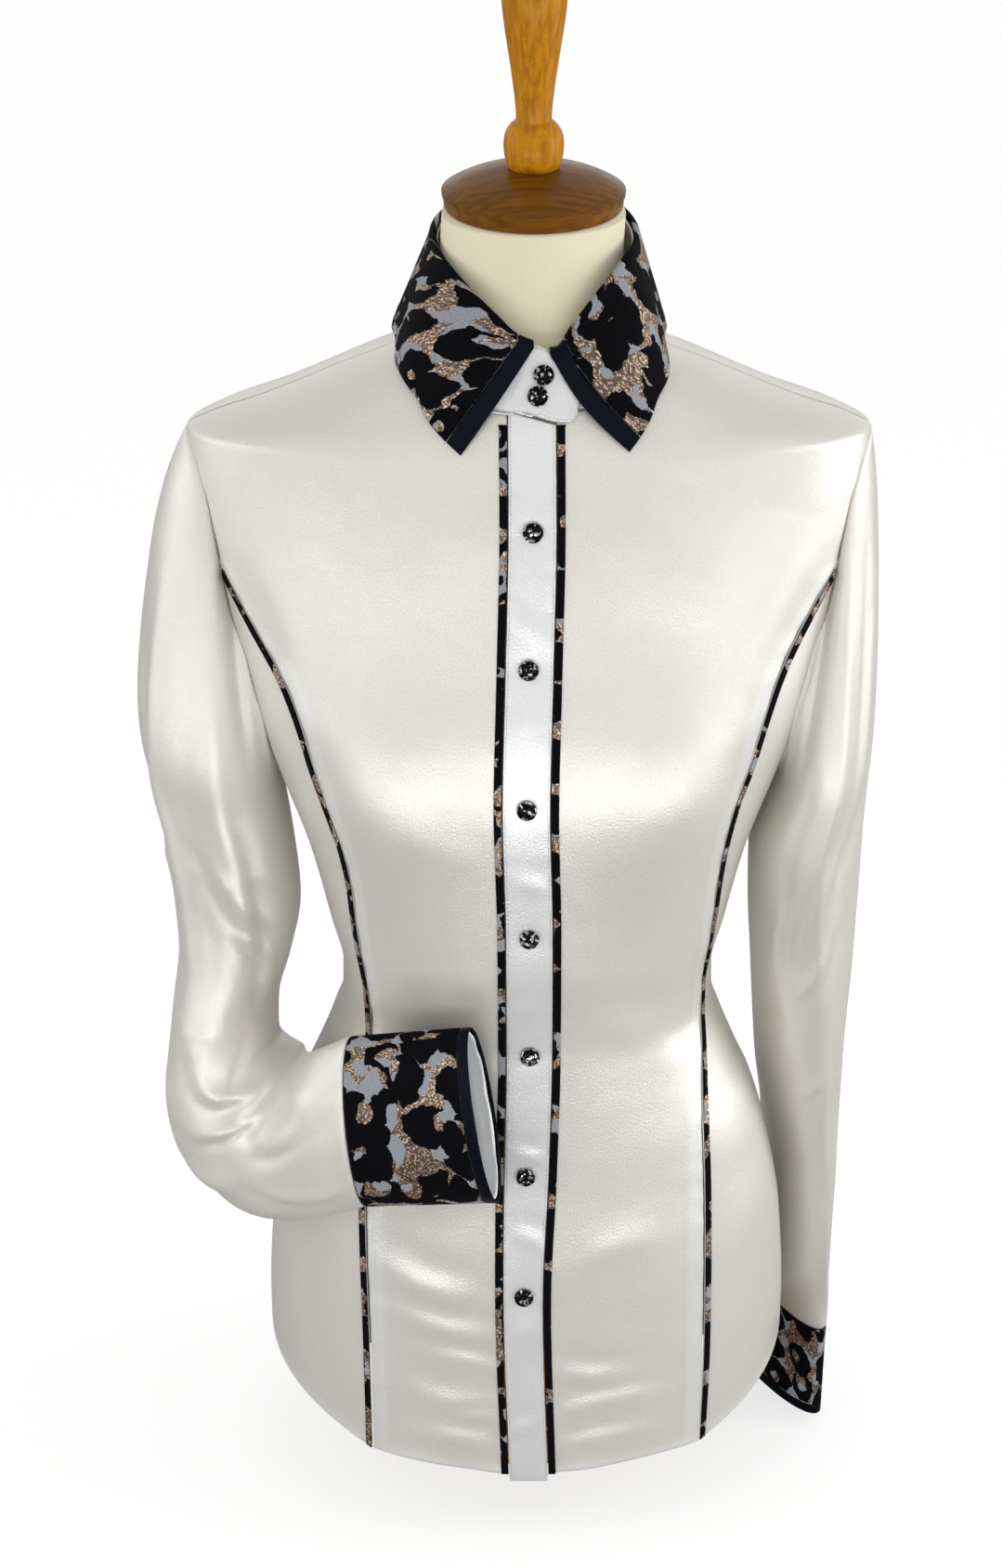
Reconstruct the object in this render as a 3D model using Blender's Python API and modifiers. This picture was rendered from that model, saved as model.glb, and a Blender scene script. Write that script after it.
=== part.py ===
"""Fitted western snap shirt worn by a dress form on a small round stand.

Metres, +Z up, the shirt's front faces -Y and +X is the wearer's left. The origin is the centre of the
stand's underside. The garment and the form are modelled in a torso frame, which is an empty on the
torso's widest plane, and cloth is placed on the torso by a turn (degrees from centre front, positive
towards +X) and a height above the floor.
"""

import math

import bpy
import numpy as np
from mathutils import Vector

COLLECTION = "western_snap_shirt_on_a_dress_form"

# ---------------------------------------------------------------- driving sizes
TORSO_Y = -0.034  # the torso's widest plane stands forward of the stand's centre
WALL = 0.0012  # one layer of satin with its seam allowances
LEAF_WALL = 0.0014  # interfaced collar
BAND_WALL = 0.0024  # placket band, several layers
PIPING_WALL = 0.0010
GAP = 0.0003  # between neighbouring pieces
SEAM = 0.0004  # each panel stops this far from a seam's line; the inner edges lean together to GAP
ARMHOLE_GAP = 0.0013  # sleeve head to armhole
SLEEVE_CLEAR = 0.0020  # sleeve to body below the armhole
MERGE = 0.00005  # corners of a turned solid that meet on its axis
MIRROR_MERGE = 0.0001  # corners of the back's two halves that meet in its middle

PIPING_WIDTH = 0.0042
FRONT_EDGE_UNDER = 0.0005  # front panel starts this far outside the placket band
TIP_HEIGHT = 0.6385  # shoulder point
UNDERARM_HEIGHT = 0.442
JUNCTION_HEIGHT = 0.572  # princess seam meets the armhole
SHOULDER_NECK_HEIGHT = 0.6885

SNAP_RADIUS = 0.00545
SNAP_HEIGHT = 0.0030
SNAP_SIDES = 14
SNAP_LIFT = 0.0006  # snap off the cloth

BASE_RADIUS = 0.078
BASE_HEIGHT = 0.018
POLE_RADIUS = 0.017
FORM_BOTTOM = 0.098
FORM_INSET = 0.0066  # form under the shirt's outer face, below the shoulders
FORM_BACK_INSET = 0.0024  # more behind, where the panel's facets are longer
SHOULDER_INSET = 0.0044  # form under the shirt's outer face where the shirt hangs on it
FORM_HALF_WIDTH = 0.165  # the form's flat armhole plates
CAP_TILT = 4.5  # neck cap leans forward, degrees
CAP_CENTRE = (0.0022, 0.010, 0.7561)  # underside of the neck cap
CAP_RADIUS = 0.0490

# Torso of the shirt: its outer face at each height.
# height, half width, front depth, back depth, squareness
TORSO = (
    (0.000, 0.1462, 0.1080, 0.1120, 2.2),
    (0.034, 0.1490, 0.1080, 0.1130, 2.2),
    (0.067, 0.1515, 0.1065, 0.1130, 2.2),
    (0.102, 0.1530, 0.1045, 0.1110, 2.2),
    (0.161, 0.1497, 0.1020, 0.1040, 2.2),
    (0.217, 0.1388, 0.0980, 0.0960, 2.2),
    (0.242, 0.1312, 0.0972, 0.0925, 2.2),
    (0.262, 0.1222, 0.0968, 0.0895, 2.2),
    (0.285, 0.1127, 0.0963, 0.0865, 2.2),
    (0.305, 0.1063, 0.0960, 0.0850, 2.2),
    (0.322, 0.1058, 0.0972, 0.0850, 2.2),
    (0.355, 0.1130, 0.1012, 0.0880, 2.25),
    (0.399, 0.1238, 0.1020, 0.0940, 2.3),
    (0.442, 0.1390, 0.1022, 0.1000, 2.3),
    (0.482, 0.1530, 0.1005, 0.1040, 2.3),
    (0.532, 0.1670, 0.0930, 0.1040, 2.2),
    (0.582, 0.1790, 0.0862, 0.1000, 2.1),
    (0.622, 0.1850, 0.0810, 0.0950, 2.0),
    (0.6385, 0.1852, 0.0775, 0.0920, 2.0),
    (0.646, 0.1730, 0.0757, 0.0905, 2.0),
    (0.656, 0.1440, 0.0730, 0.0870, 2.0),
    (0.672, 0.1050, 0.0665, 0.0800, 2.0),
    (0.6885, 0.0680, 0.0605, 0.0720, 2.0),
    (0.712, 0.0590, 0.0560, 0.0640, 2.0),
)
# Fullness over the bust on each side: how far out, where, and how far it spreads.
BUST_OUT, BUST_TURN, BUST_SPREAD, BUST_HEIGHT, BUST_RISE = 0.010, 40.0, 16.0, 0.448, 0.055

# Curved shirt-tail hem: turn, height
HEM = (
    (0, 0.038), (30, 0.041), (48, 0.045), (60, 0.051), (70, 0.062), (80, 0.078), (90, 0.086),
    (100, 0.078), (112, 0.060), (130, 0.046), (180, 0.038),
)
# Neck seam: turn, height
NECK_SEAM = ((0, 0.6640), (30, 0.668), (60, 0.679), (90, 0.6885), (120, 0.699), (150, 0.708), (180, 0.712))
# Front placket: height, centre x, half width
PLACKET = (
    (0.034, 0.0010, 0.0110),
    (0.154, -0.0025, 0.0112),
    (0.230, -0.0008, 0.0124),
    (0.305, 0.0006, 0.0126),
    (0.380, 0.0003, 0.0127),
    (0.456, -0.0015, 0.0128),
    (0.530, 0.0000, 0.0127),
    (0.605, 0.0014, 0.0126),
    (0.668, 0.0010, 0.0125),
)
PLACKET_BOTTOM = 0.0335
PLACKET_TOP = 0.6640
PIPING_TOP = 0.6600
NECK_SLANT = 0.26  # the band's top seam drops this much for each metre towards +X
NECK_SLANT_POWER = 12  # how late up the band the slant comes in
BAND_SHARES = (-1.0, -0.45, 0.45, 1.0)  # the band's corners, as shares of its half width

# Princess seams: height, distance from the middle on the wearer's right, and on the left
PRINCESS = (
    (0.040, 0.0897, 0.1005),
    (0.109, 0.0905, 0.1020),
    (0.199, 0.0920, 0.1010),
    (0.256, 0.0905, 0.0990),
    (0.299, 0.0881, 0.0985),
    (0.320, 0.0890, 0.0982),
    (0.343, 0.0915, 0.1005),
    (0.366, 0.0946, 0.1025),
    (0.395, 0.0969, 0.1045),
    (0.420, 0.1013, 0.1075),
    (0.442, 0.1084, 0.1120),
    (0.465, 0.1158, 0.1195),
    (0.493, 0.1235, 0.1272),
    (0.515, 0.1325, 0.1345),
    (0.538, 0.1470, 0.1460),
    (0.556, 0.1580, 0.1570),
)
# Armhole seam from the underarm up to the shoulder point: height, front turn, back turn
ARMHOLE = (
    (UNDERARM_HEIGHT, 90.0, 90.0),
    (0.447, 84.0, 96.0),
    (0.460, 79.0, 101.0),
    (0.482, 75.5, 106.0),
    (0.512, 76.2, 108.0),
    (0.542, 79.3, 107.0),
    (JUNCTION_HEIGHT, 79.5, 105.0),
    (0.597, 80.5, 102.0),
    (0.620, 83.0, 99.0),
    (0.632, 86.0, 95.0),
    (TIP_HEIGHT, 90.0, 90.0),
)
JUNCTION_ROW = 6
SIDE_PANEL_END = 0.72  # of its last step up the armhole, so that it stops short of the centre panel

# Pieces of cloth are grids; these are the steps along them.
LOWER_STEPS = 17  # hem to the princess junction
UPPER_STEPS = 7  # junction to the shoulder point
FRONT_EDGE_STEPS = 2  # of the upper steps, those on the front edge; the rest follow the neck
SIDE_SEAM_STEPS = 13  # hem to the underarm
UNDER_STEPS = 4  # underarm to the junction
BACK_ARM_STEPS = 9
BACK_NECK_STEPS = 5
CENTRE_COLUMNS = 5
SIDE_COLUMNS = 4
BACK_COLUMNS = CENTRE_COLUMNS + 1
BAND_STEPS = 4  # along the placket band, from each snap to the next
CAP_STEPS = 5  # armhole to the first ring of the sleeve
BENT_RINGS, HANGING_RINGS = 15, 11
BENT_HEAD, HANGING_HEAD = 0.013, 0.005  # how far the sleeve's head stands out
HEAD_POWER = 0.5  # how soon after the armhole it does
HEAD_LEAN = 0.45  # share of it to the front and the back
FOLD_POWER = 0.7  # how soon a fold reaches its depth
SEAM_PROBE = 0.05  # share of a cuff's or a stand's height used to find the way out of its face

# Sleeves below the underarm, as rings in the torso frame. Columns: x outwards, y, z, half size
# outwards, half size to the front, bend (degrees that the sleeve has turned up at the elbow), turn
# (degrees about the vertical) and dip (degrees that the ring's front hangs lower).
BENT_SLEEVE = (
    (0.1780, 0.004, 0.437, 0.0385, 0.0570, 0, 0, 0),
    (0.1705, 0.002, 0.397, 0.0372, 0.0560, 0, 0, 0),
    (0.1665, 0.000, 0.357, 0.0368, 0.0545, 0, 0, 0),
    (0.1685, -0.003, 0.327, 0.0335, 0.0530, 4, 0, 0),
    (0.1745, -0.008, 0.297, 0.0320, 0.0500, 10, 2, 0),
    (0.1765, -0.018, 0.262, 0.0375, 0.0440, 28, 5, 0),
    (0.1620, -0.034, 0.240, 0.0520, 0.0350, 50, 10, 0),
    (0.1455, -0.055, 0.2345, 0.0560, 0.0290, 70, 16, 0),
    (0.1220, -0.082, 0.2470, 0.0550, 0.0230, 85, 20, 0),
    (0.0950, -0.096, 0.2628, 0.0525, 0.0185, 95, 20, 0),
)
BENT_WRIST = (0.0240, -0.1185, 0.2790, 0.0535, 0.0150, 99, 20, 0)
HANGING_SLEEVE = (
    (0.1665, 0.004, 0.437, 0.0255, 0.0560, 0, 0, 0),
    (0.1585, 0.008, 0.392, 0.0320, 0.0560, 0, 0, 0),
    (0.1586, 0.013, 0.352, 0.0311, 0.0550, 0, 2, 0),
    (0.1595, 0.018, 0.311, 0.0287, 0.0545, 0, 5, 0),
    (0.1600, 0.024, 0.270, 0.0255, 0.0540, 0, 8, 0),
    (0.1610, 0.030, 0.230, 0.0215, 0.0530, 0, 12, 0),
    (0.1635, 0.036, 0.182, 0.0158, 0.0520, 0, 15, 0),
    (0.1618, 0.041, 0.142, 0.0148, 0.0520, 0, 18, 2),
    (0.1587, 0.046, 0.098, 0.0140, 0.0510, 0, 24, 6),
    (0.1570, 0.048, 0.074, 0.0136, 0.0500, 0, 27, 9),
)
HANGING_WRIST = (0.1545, 0.048, 0.010, 0.0136, 0.0500, 0, 29, 5)
BINDING_WIDTH = 0.0065  # dark satin at the wrist edge
FACING_WALL = 0.0010
FACING_INSET = 0.0021  # facing's outer face inside the cuff's outer face
CUFF_GAP = 0.0007  # cuff to sleeve along the middle line; their slanted edges come nearer

# Largest soft folds of the sleeves. Columns: angle round the sleeve (0 outside, 90 front), half width
# in degrees, depth, and the first and last share of the length that it runs along.
BENT_FOLDS = (
    (62, 26, 0.0050, 0.02, 0.55),
    (20, 24, 0.0035, 0.10, 0.62),
    (118, 28, 0.0040, 0.30, 0.80),
    (300, 30, 0.0040, 0.10, 0.70),
    (150, 26, 0.0045, 0.62, 0.98),
    (60, 26, 0.0035, 0.70, 1.00),
)
HANGING_FOLDS = (
    (55, 26, 0.0035, 0.05, 0.70),
    (100, 26, 0.0030, 0.35, 0.98),
    (300, 30, 0.0035, 0.10, 0.85),
)

# Collar: top of the stand, an oval about the neck.
FOLD_CENTRE = (0.0030, 0.0035)
FOLD_HALF = (0.0525, 0.0595)
# Height of the stand's top: degrees from centre front, on the wearer's right, on the left
FOLD = (
    (0, 0.6995, 0.6956),
    (11, 0.7040, 0.6956),
    (20, 0.7115, 0.7060),
    (33, 0.7205, 0.7185),
    (47, 0.7280, 0.7290),
    (62, 0.7335, 0.7362),
    (80, 0.7390, 0.7400),
    (110, 0.7470, 0.7470),
    (145, 0.7530, 0.7530),
    (180, 0.7550, 0.7550),
)
STAND_UNDER_FOLD = 0.0010  # the stand stops this far below the leaf's fold line
OVERLAP_OUT = 0.0030  # the buttoning end lies on the other one
OVERLAP_FROM, OVERLAP_FULL = 295.0, 345.0
UNDER_END = -7.0  # where the under end of the stand stops, degrees
# Rounded end of the stand: turn, bottom height, top height
TAB = (
    (353.0, 0.6669, 0.7000),
    (360.0, 0.6647, 0.6998),
    (365.0, 0.6630, 0.6985),
    (369.0, 0.6616, 0.6943),
    (372.0, 0.6609, 0.6925),
    (375.5, 0.6606, 0.6900),
    (378.4, 0.6622, 0.6855),
    (380.2, 0.6660, 0.6805),
    (380.8, 0.6715, 0.6765),
)
# Collar leaf's outer edge, front point to centre back: turn, height, lift off the shirt
LEAF_EDGE_RIGHT = (
    (25.7, 0.6443, 0.0040),
    (38.8, 0.6597, 0.0040),
    (45.2, 0.6688, 0.0040),
    (58.0, 0.6778, 0.0042),
    (72.0, 0.6842, 0.0048),
    (88.0, 0.6890, 0.0075),
    (110.0, 0.6940, 0.0090),
    (135.0, 0.6975, 0.0100),
    (180.0, 0.6995, 0.0105),
)
LEAF_EDGE_LEFT = (
    (35.4, 0.6455, 0.0040),
    (44.0, 0.6588, 0.0040),
    (50.4, 0.6684, 0.0040),
    (58.6, 0.6752, 0.0042),
    (72.8, 0.6835, 0.0050),
    (88.0, 0.6890, 0.0075),
    (110.0, 0.6940, 0.0090),
    (135.0, 0.6975, 0.0100),
    (180.0, 0.6995, 0.0105),
)
LEAF_START = (0.8, 7.5)  # turn of the fold's front end on the right leaf (towards -X) and on the left
LEAF_BINDING_SHARE = 0.046  # of half the collar's length
LEAF_SEAM_SHARE = 0.0035
LEAF_BELLY = (0.0, 0.0045)  # front edge's curve towards the middle, right leaf and left
LEAF_BELLY_SHARE = 0.2  # of half the collar's length, where the curve has died out
# The leaf's crown between fold and edge: degrees from centre front, height of the crown
LEAF_ROLL = ((0, 0.0037), (55, 0.0034), (95, 0.0002), (140, 0.0010), (180, 0.0020))
LEAF_FOLD = ((-0.0004, 0.0022), (0.0020, 0.0018), (0.0036, -0.0008))  # the fold's line over the stand's top
LEAF_OVER_TAB, LEAF_OVER_TAB_TURN = 0.0024, 48.0  # the left leaf lies over the stand's rounded end
LEAF_CLEAR = 0.0016  # leaf's underside to the stand
LEAF_COLUMNS = 11
LEAF_FALLS = (0.0, 0.33, 0.66, 1.0)

# Snaps on the placket, top to bottom: height, and shift off the placket's middle
SNAPS = (
    (0.6054, 0.0003),
    (0.5319, -0.0005),
    (0.4562, 0.0002),
    (0.3795, 0.0000),
    (0.3047, 0.0003),
    (0.2296, -0.0004),
    (0.1542, 0.0004),
)
# Snaps on the stand: turn, share of the stand's height
STAND_SNAPS = ((5.0, 0.620), (2.8, 0.310))
# Snaps on the hidden side of each cuff: share of the cuff's length
CUFF_SNAPS = (0.24, 0.66)
CUFF_SNAP_ANGLE = 262.0

# Neck of the form above the shoulders: height, half width, front depth, back depth
NECK = (
    (0.6900, 0.0560, 0.0530, 0.0600),
    (0.7000, 0.0515, 0.0490, 0.0590),
    (0.7120, 0.0495, 0.0465, 0.0580),
    (0.7350, 0.0487, 0.0420, 0.0580),
)
NECK_TOP_HALF = 0.0487
FORM_SIDES = 30
FORM_FOOT_SHARE = 0.86  # rounded lower end of the form
# Heights of the form's rings under the shirt, and above them the share of the full inset
FORM_HEIGHTS = (0.112, 0.150, 0.200, 0.245, 0.285, 0.322, 0.365, 0.410, 0.450, 0.490, 0.535, 0.580)
FORM_SHOULDERS = ((0.612, 0.6), (0.632, 0.2), (0.643, 0.0), (0.654, 0.0), (0.668, 0.0), (0.680, 0.3))
# Finial above the neck cap: radius, height above the cap
FINIAL = (
    (0.0136, 0.0003), (0.0151, 0.0042), (0.0160, 0.0102), (0.0160, 0.0152), (0.0148, 0.0202),
    (0.0120, 0.0238), (0.0094, 0.0258), (0.0097, 0.0332), (0.0113, 0.0466), (0.0135, 0.0611),
    (0.0158, 0.0762), (0.0171, 0.0872), (0.0175, 0.0962), (0.0166, 0.1037), (0.0135, 0.1092),
)
FINIAL_TOP = 0.1117
FINIAL_TOP_RADIUS = 0.0075
CAP_EDGE = 0.0063  # the cap's upright edge
CAP_ROUND = 0.0030  # from there up to its widest ring
CAP_DOME = 0.0120  # and from there up to its top
CAP_SEAT = 0.0140  # flat that the finial stands on
CAP_FULLNESS = 2.6  # power of the dome's curve
CAP_SHARES = (0.44, 0.62, 0.78, 0.90, 1.0)  # rings of the dome
CAP_SIDES, FINIAL_SIDES, BASE_SIDES, POLE_SIDES = 32, 18, 40, 24
BASE_EDGE = ((0.010, 0.000), (0.003, 0.003), (0.000, 0.008))  # in from the rim, down from the top
BASE_CHAMFER = 0.002
FLANGE_OUT, FLANGE_HEIGHT, FLANGE_SLOPE = 0.006, 0.010, 0.006  # the pole's foot

# Snap cap: share of the radius and of the height, from the top down its side
SNAP_PROFILE = ((0.38, 1.0), (0.72, 0.88), (0.93, 0.62), (1.0, 0.30), (0.92, 0.0))

# ---------------------------------------------------------------- colours
SATIN = ("ivory satin", (0.80, 0.78, 0.72), 0.32, 0.0)
SATIN_WHITE = ("white satin", (0.86, 0.86, 0.85), 0.30, 0.0)
BROCADE = ("leopard brocade", (0.16, 0.14, 0.13), 0.55, 0.1)
SATIN_BLACK = ("black satin", (0.012, 0.014, 0.022), 0.35, 0.0)
GUNMETAL = ("gunmetal", (0.08, 0.075, 0.075), 0.25, 1.0)
JERSEY = ("ribbed jersey", (0.80, 0.74, 0.60), 0.85, 0.0)
DARK_WOOD = ("dark varnished wood", (0.13, 0.06, 0.02), 0.30, 0.0)
WARM_WOOD = ("warm varnished wood", (0.36, 0.15, 0.04), 0.30, 0.0)


def clear_scene():
    """Removes whatever the file holds."""
    for thing in list(bpy.data.objects):
        bpy.data.objects.remove(thing, do_unlink=True)


def finish(colour):
    """The Principled material of one of the colours above."""
    name, base, roughness, metallic = colour
    made = bpy.data.materials.get(name)
    if made is None:
        made = bpy.data.materials.new(name)
        made.use_nodes = True
        shader = made.node_tree.nodes["Principled BSDF"]
        shader.inputs["Base Color"].default_value = (*base, 1.0)
        shader.inputs["Roughness"].default_value = roughness
        shader.inputs["Metallic"].default_value = metallic
    return made


# ---------------------------------------------------------------- curves and the torso
def read(table, at, column):
    """A column of a table at a place between its rows, on a smooth curve that never overshoots."""
    places = [row[0] for row in table]
    values = [row[column] for row in table]
    spans = np.diff(places)
    slopes = np.diff(values) / spans
    tangents = [slopes[0], *[0.0] * (len(places) - 2), slopes[-1]]
    for k in range(1, len(places) - 1):
        if slopes[k - 1] * slopes[k] > 0:
            near, far = 2 * spans[k] + spans[k - 1], spans[k] + 2 * spans[k - 1]
            tangents[k] = (near + far) / (near / slopes[k - 1] + far / slopes[k])
    at = min(max(at, places[0]), places[-1])
    k = min(max(int(np.searchsorted(places, at)) - 1, 0), len(spans) - 1)
    t = (at - places[k]) / spans[k]
    return (
        (1 + 2 * t) * (1 - t) ** 2 * values[k]
        + t * (1 - t) ** 2 * spans[k] * tangents[k]
        + t * t * (3 - 2 * t) * values[k + 1]
        + t * t * (t - 1) * spans[k] * tangents[k + 1]
    )


def torso_face(turn, height):
    """Point of the shirt's outer face."""
    half, front, back, square = (read(TORSO, height, column) for column in range(1, 5))
    angle = math.radians(turn)
    across, along = abs(math.sin(angle)), math.cos(angle)
    depth = front if along > 0 else back
    reach = ((across / half) ** square + (abs(along) / depth) ** square) ** (-1 / square)
    off_bust = (from_front(turn) ** 2 - BUST_TURN**2) / (2 * BUST_TURN * BUST_SPREAD)
    reach += BUST_OUT * math.exp(-(off_bust**2) - ((height - BUST_HEIGHT) / BUST_RISE) ** 2)
    return np.array([reach * math.sin(angle), -reach * math.cos(angle), height])


def torso_out(turn, height):
    """Unit vector that leaves the shirt's face."""
    step, rise = 0.2, 0.0006
    round_it = torso_face(turn + step, height) - torso_face(turn - step, height)
    up_it = torso_face(turn, height + rise) - torso_face(turn, height - rise)
    out = np.cross(round_it, up_it)
    return out / np.linalg.norm(out)


def torso_point(turn, height, out=0.0):
    """Point of the shirt's face, moved out by a distance."""
    return torso_face(turn, height) + out * torso_out(turn, height)


def turn_at(x, height):
    """Turn of the front's point that lies at x."""
    low, high = 0.0, 89.5
    for _ in range(30):
        middle = (low + high) / 2
        if torso_face(middle, height)[0] < abs(x):
            low = middle
        else:
            high = middle
    return math.copysign(low, x)


def shift_turn(turn, height, distance):
    """The turn, moved along the face by a distance."""
    face = torso_face(turn, height)
    return turn + math.degrees(distance / math.hypot(face[0], face[1]))


def spread(line, steps):
    """steps + 1 places, evenly along a line of (turn, height) places."""
    points = [torso_face(*place) for place in line]
    run = np.concatenate([[0], np.cumsum([np.linalg.norm(b - a) for a, b in zip(points, points[1:])])])
    wanted = np.linspace(0, run[-1], steps + 1)
    turns = np.interp(wanted, run, [place[0] for place in line])
    heights = np.interp(wanted, run, [place[1] for place in line])
    return list(zip(turns, heights))


def hem_height(turn):
    """Height of the hem."""
    return read(HEM, abs(turn), 1)


def from_front(turn):
    """Degrees from centre front, on either side."""
    return abs((turn + 180) % 360 - 180)


def neck_height(turn):
    """Height of the neck seam."""
    return read(NECK_SEAM, from_front(turn), 1)


# ---------------------------------------------------------------- seams of the body
FINE = 60  # points used to measure along a seam


def armhole_line(side, back, first, last):
    """Armhole between two rows of its table, from below upwards."""
    rows = [(k, *row) for k, row in enumerate(ARMHOLE)]
    column = 3 if back else 2
    return [
        (side * read(rows, at, column), read(rows, at, 1)) for at in np.linspace(first, last, FINE)
    ]


def princess_line(side):
    """Princess seam from the hem to the armhole."""
    column = 1 if side < 0 else 2
    end = armhole_line(side, False, JUNCTION_ROW, JUNCTION_ROW + 1)[0]
    top = PRINCESS[-1][0]
    start_turn = turn_at(side * read(PRINCESS, PRINCESS[0][0], column), PRINCESS[0][0])
    start = hem_height(start_turn)
    line = []
    for height in np.linspace(start, top, FINE):
        line.append((turn_at(side * read(PRINCESS, height, column), height), height))
    return [*line, end]


def placket_edge(side, height, beyond=0.0):
    """x of the placket band's edge."""
    return read(PLACKET, height, 1) + side * (read(PLACKET, height, 2) + beyond)


def front_edge_places(side, beyond):
    """Front edge of a centre panel, hem to neck, and then along the neck seam to the shoulder."""
    top_turn = turn_at(placket_edge(side, PLACKET_TOP, beyond), PLACKET_TOP)
    top = neck_height(top_turn)
    bottom = hem_height(0)
    split = bottom + (top - bottom) * LOWER_STEPS / (LOWER_STEPS + FRONT_EDGE_STEPS)
    places = []
    for height in (
        *np.linspace(bottom, split, LOWER_STEPS + 1),
        *np.linspace(split, top, FRONT_EDGE_STEPS + 1)[1:],
    ):
        places.append((turn_at(placket_edge(side, height, beyond), height), height))
    neck_steps = UPPER_STEPS - FRONT_EDGE_STEPS
    for turn in np.linspace(top_turn, side * (90 - shoulder_gap()), neck_steps + 1)[1:]:
        places.append((turn, neck_height(turn)))
    return places


def shoulder_gap():
    """Degrees that hold the front and the back apart along the shoulder."""
    return math.degrees(SEAM / read(TORSO, SHOULDER_NECK_HEIGHT, 1))


def armhole_places(side, back):
    """Armhole from the underarm to the shoulder point, as the panels and the sleeve share it."""
    if back:
        return spread(armhole_line(side, True, 0, len(ARMHOLE) - 1), BACK_ARM_STEPS)
    lower = spread(armhole_line(side, False, 0, JUNCTION_ROW), UNDER_STEPS)
    upper = spread(armhole_line(side, False, JUNCTION_ROW, len(ARMHOLE) - 1), UPPER_STEPS)
    return [*lower, *upper[1:]]


def between(first, last, share):
    """Numbers part of the way from one row of them to another."""
    return tuple(a + (b - a) * share for a, b in zip(first, last))


def row_shares(left, right, columns):
    """Shares of a row's length at its columns: the piping's edge first, then evenly."""
    length = np.linalg.norm(torso_face(*right) - torso_face(*left))
    return [0.0, PIPING_WIDTH / length, *np.linspace(0, 1, columns + 1)[1:]]


# ---------------------------------------------------------------- making objects
def add_to_garment(name, mesh, colour):
    """An object in the shirt's collection, in the torso frame."""
    made = bpy.data.objects.new(name, mesh)
    mesh.materials.append(finish(colour))
    bpy.data.collections[COLLECTION].objects.link(made)
    made.parent = bpy.data.objects["torso_frame"]
    return made


def grid_mesh(name, rows, closed, capped=False):
    """A mesh of quads through rows of points. The rows run up and their points to the right, as seen
    from outside. A closed one joins each row's last point to its first, and a capped one is a solid."""
    wide = len(rows[0])
    points = [tuple(point) for row in rows for point in row]
    faces = []
    for r in range(len(rows) - 1):
        for c in range(wide if closed else wide - 1):
            right = (c + 1) % wide
            faces.append((r * wide + c, r * wide + right, (r + 1) * wide + right, (r + 1) * wide + c))
    if capped:
        top = (len(rows) - 1) * wide
        faces += [tuple(range(wide))[::-1], tuple(range(top, top + wide))]
    mesh = bpy.data.meshes.new(name)
    mesh.from_pydata(points, [], faces)
    mesh.shade_smooth()
    return mesh


def cloth(name, rows, wall, colour, closed=False, mirror=False):
    """A wall of cloth behind the face that the rows give."""
    made = add_to_garment(name, grid_mesh(name, rows, closed), colour)
    if mirror:
        half = made.modifiers.new("Mirror", "MIRROR")
        half.use_clip = True
        half.merge_threshold = MIRROR_MERGE
    thick = made.modifiers.new("Solidify", "SOLIDIFY")
    thick.thickness = wall
    thick.offset = -1
    return made


def turned(name, profile, colour, sides):
    """A solid of revolution about Z: radius and height pairs that run down its outer side."""
    top, bottom = profile[0][1], profile[-1][1]
    outline = [(0.0, top), *profile, (0.0, bottom)]
    mesh = bpy.data.meshes.new(name)
    points = [(radius, 0.0, height) for radius, height in outline]
    mesh.from_pydata(points, [(k, k + 1) for k in range(len(points) - 1)], [])
    made = add_to_garment(name, mesh, colour)
    screw = made.modifiers.new("Screw", "SCREW")
    screw.steps = sides
    screw.render_steps = sides
    screw.use_merge_vertices = True
    screw.merge_threshold = MERGE
    screw.use_smooth_shade = True
    return made


def stand_on(made, place, out):
    """Puts a turned piece at a place, its axis along a direction."""
    made.location = place
    made.rotation_mode = "QUATERNION"
    made.rotation_quaternion = Vector(out).to_track_quat("Z", "Y")


# ---------------------------------------------------------------- body panels
def rightwards(side, row):
    """A row that was made from the middle outwards, as it runs to the right seen from outside."""
    return row if side > 0 else row[::-1]


def centre_panel(side, label):
    """Centre front, from the placket to the princess seam, armhole and shoulder."""
    inner = front_edge_places(side, FRONT_EDGE_UNDER)
    outer = [*spread(princess_line(side), LOWER_STEPS), *armhole_places(side, False)[UNDER_STEPS + 1 :]]
    outer = [(shift_turn(turn, height, -side * SEAM), height) for turn, height in outer]
    outer[-1] = (side * (90 - shoulder_gap()), outer[-1][1])
    rows = []
    for left, right in zip(inner, outer):
        places = [between(left, right, share) for share in row_shares(left, right, CENTRE_COLUMNS)]
        rows.append([torso_point(*place) for place in places])
    cloth(f"front_centre_{label}", [rightwards(side, row) for row in rows], WALL, SATIN)
    out = GAP + PIPING_WALL
    rows = []
    for left, right in list(zip(inner, outer))[: LOWER_STEPS + FRONT_EDGE_STEPS + 1]:
        left, right = (place[:1] + (min(place[1], PIPING_TOP),) for place in (left, right))
        shares = row_shares(left, right, CENTRE_COLUMNS)[:2]
        rows.append([torso_point(*between(left, right, share), out) for share in shares])
    cloth(f"placket_piping_{label}", [rightwards(side, row) for row in rows], PIPING_WALL, BROCADE)


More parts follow.
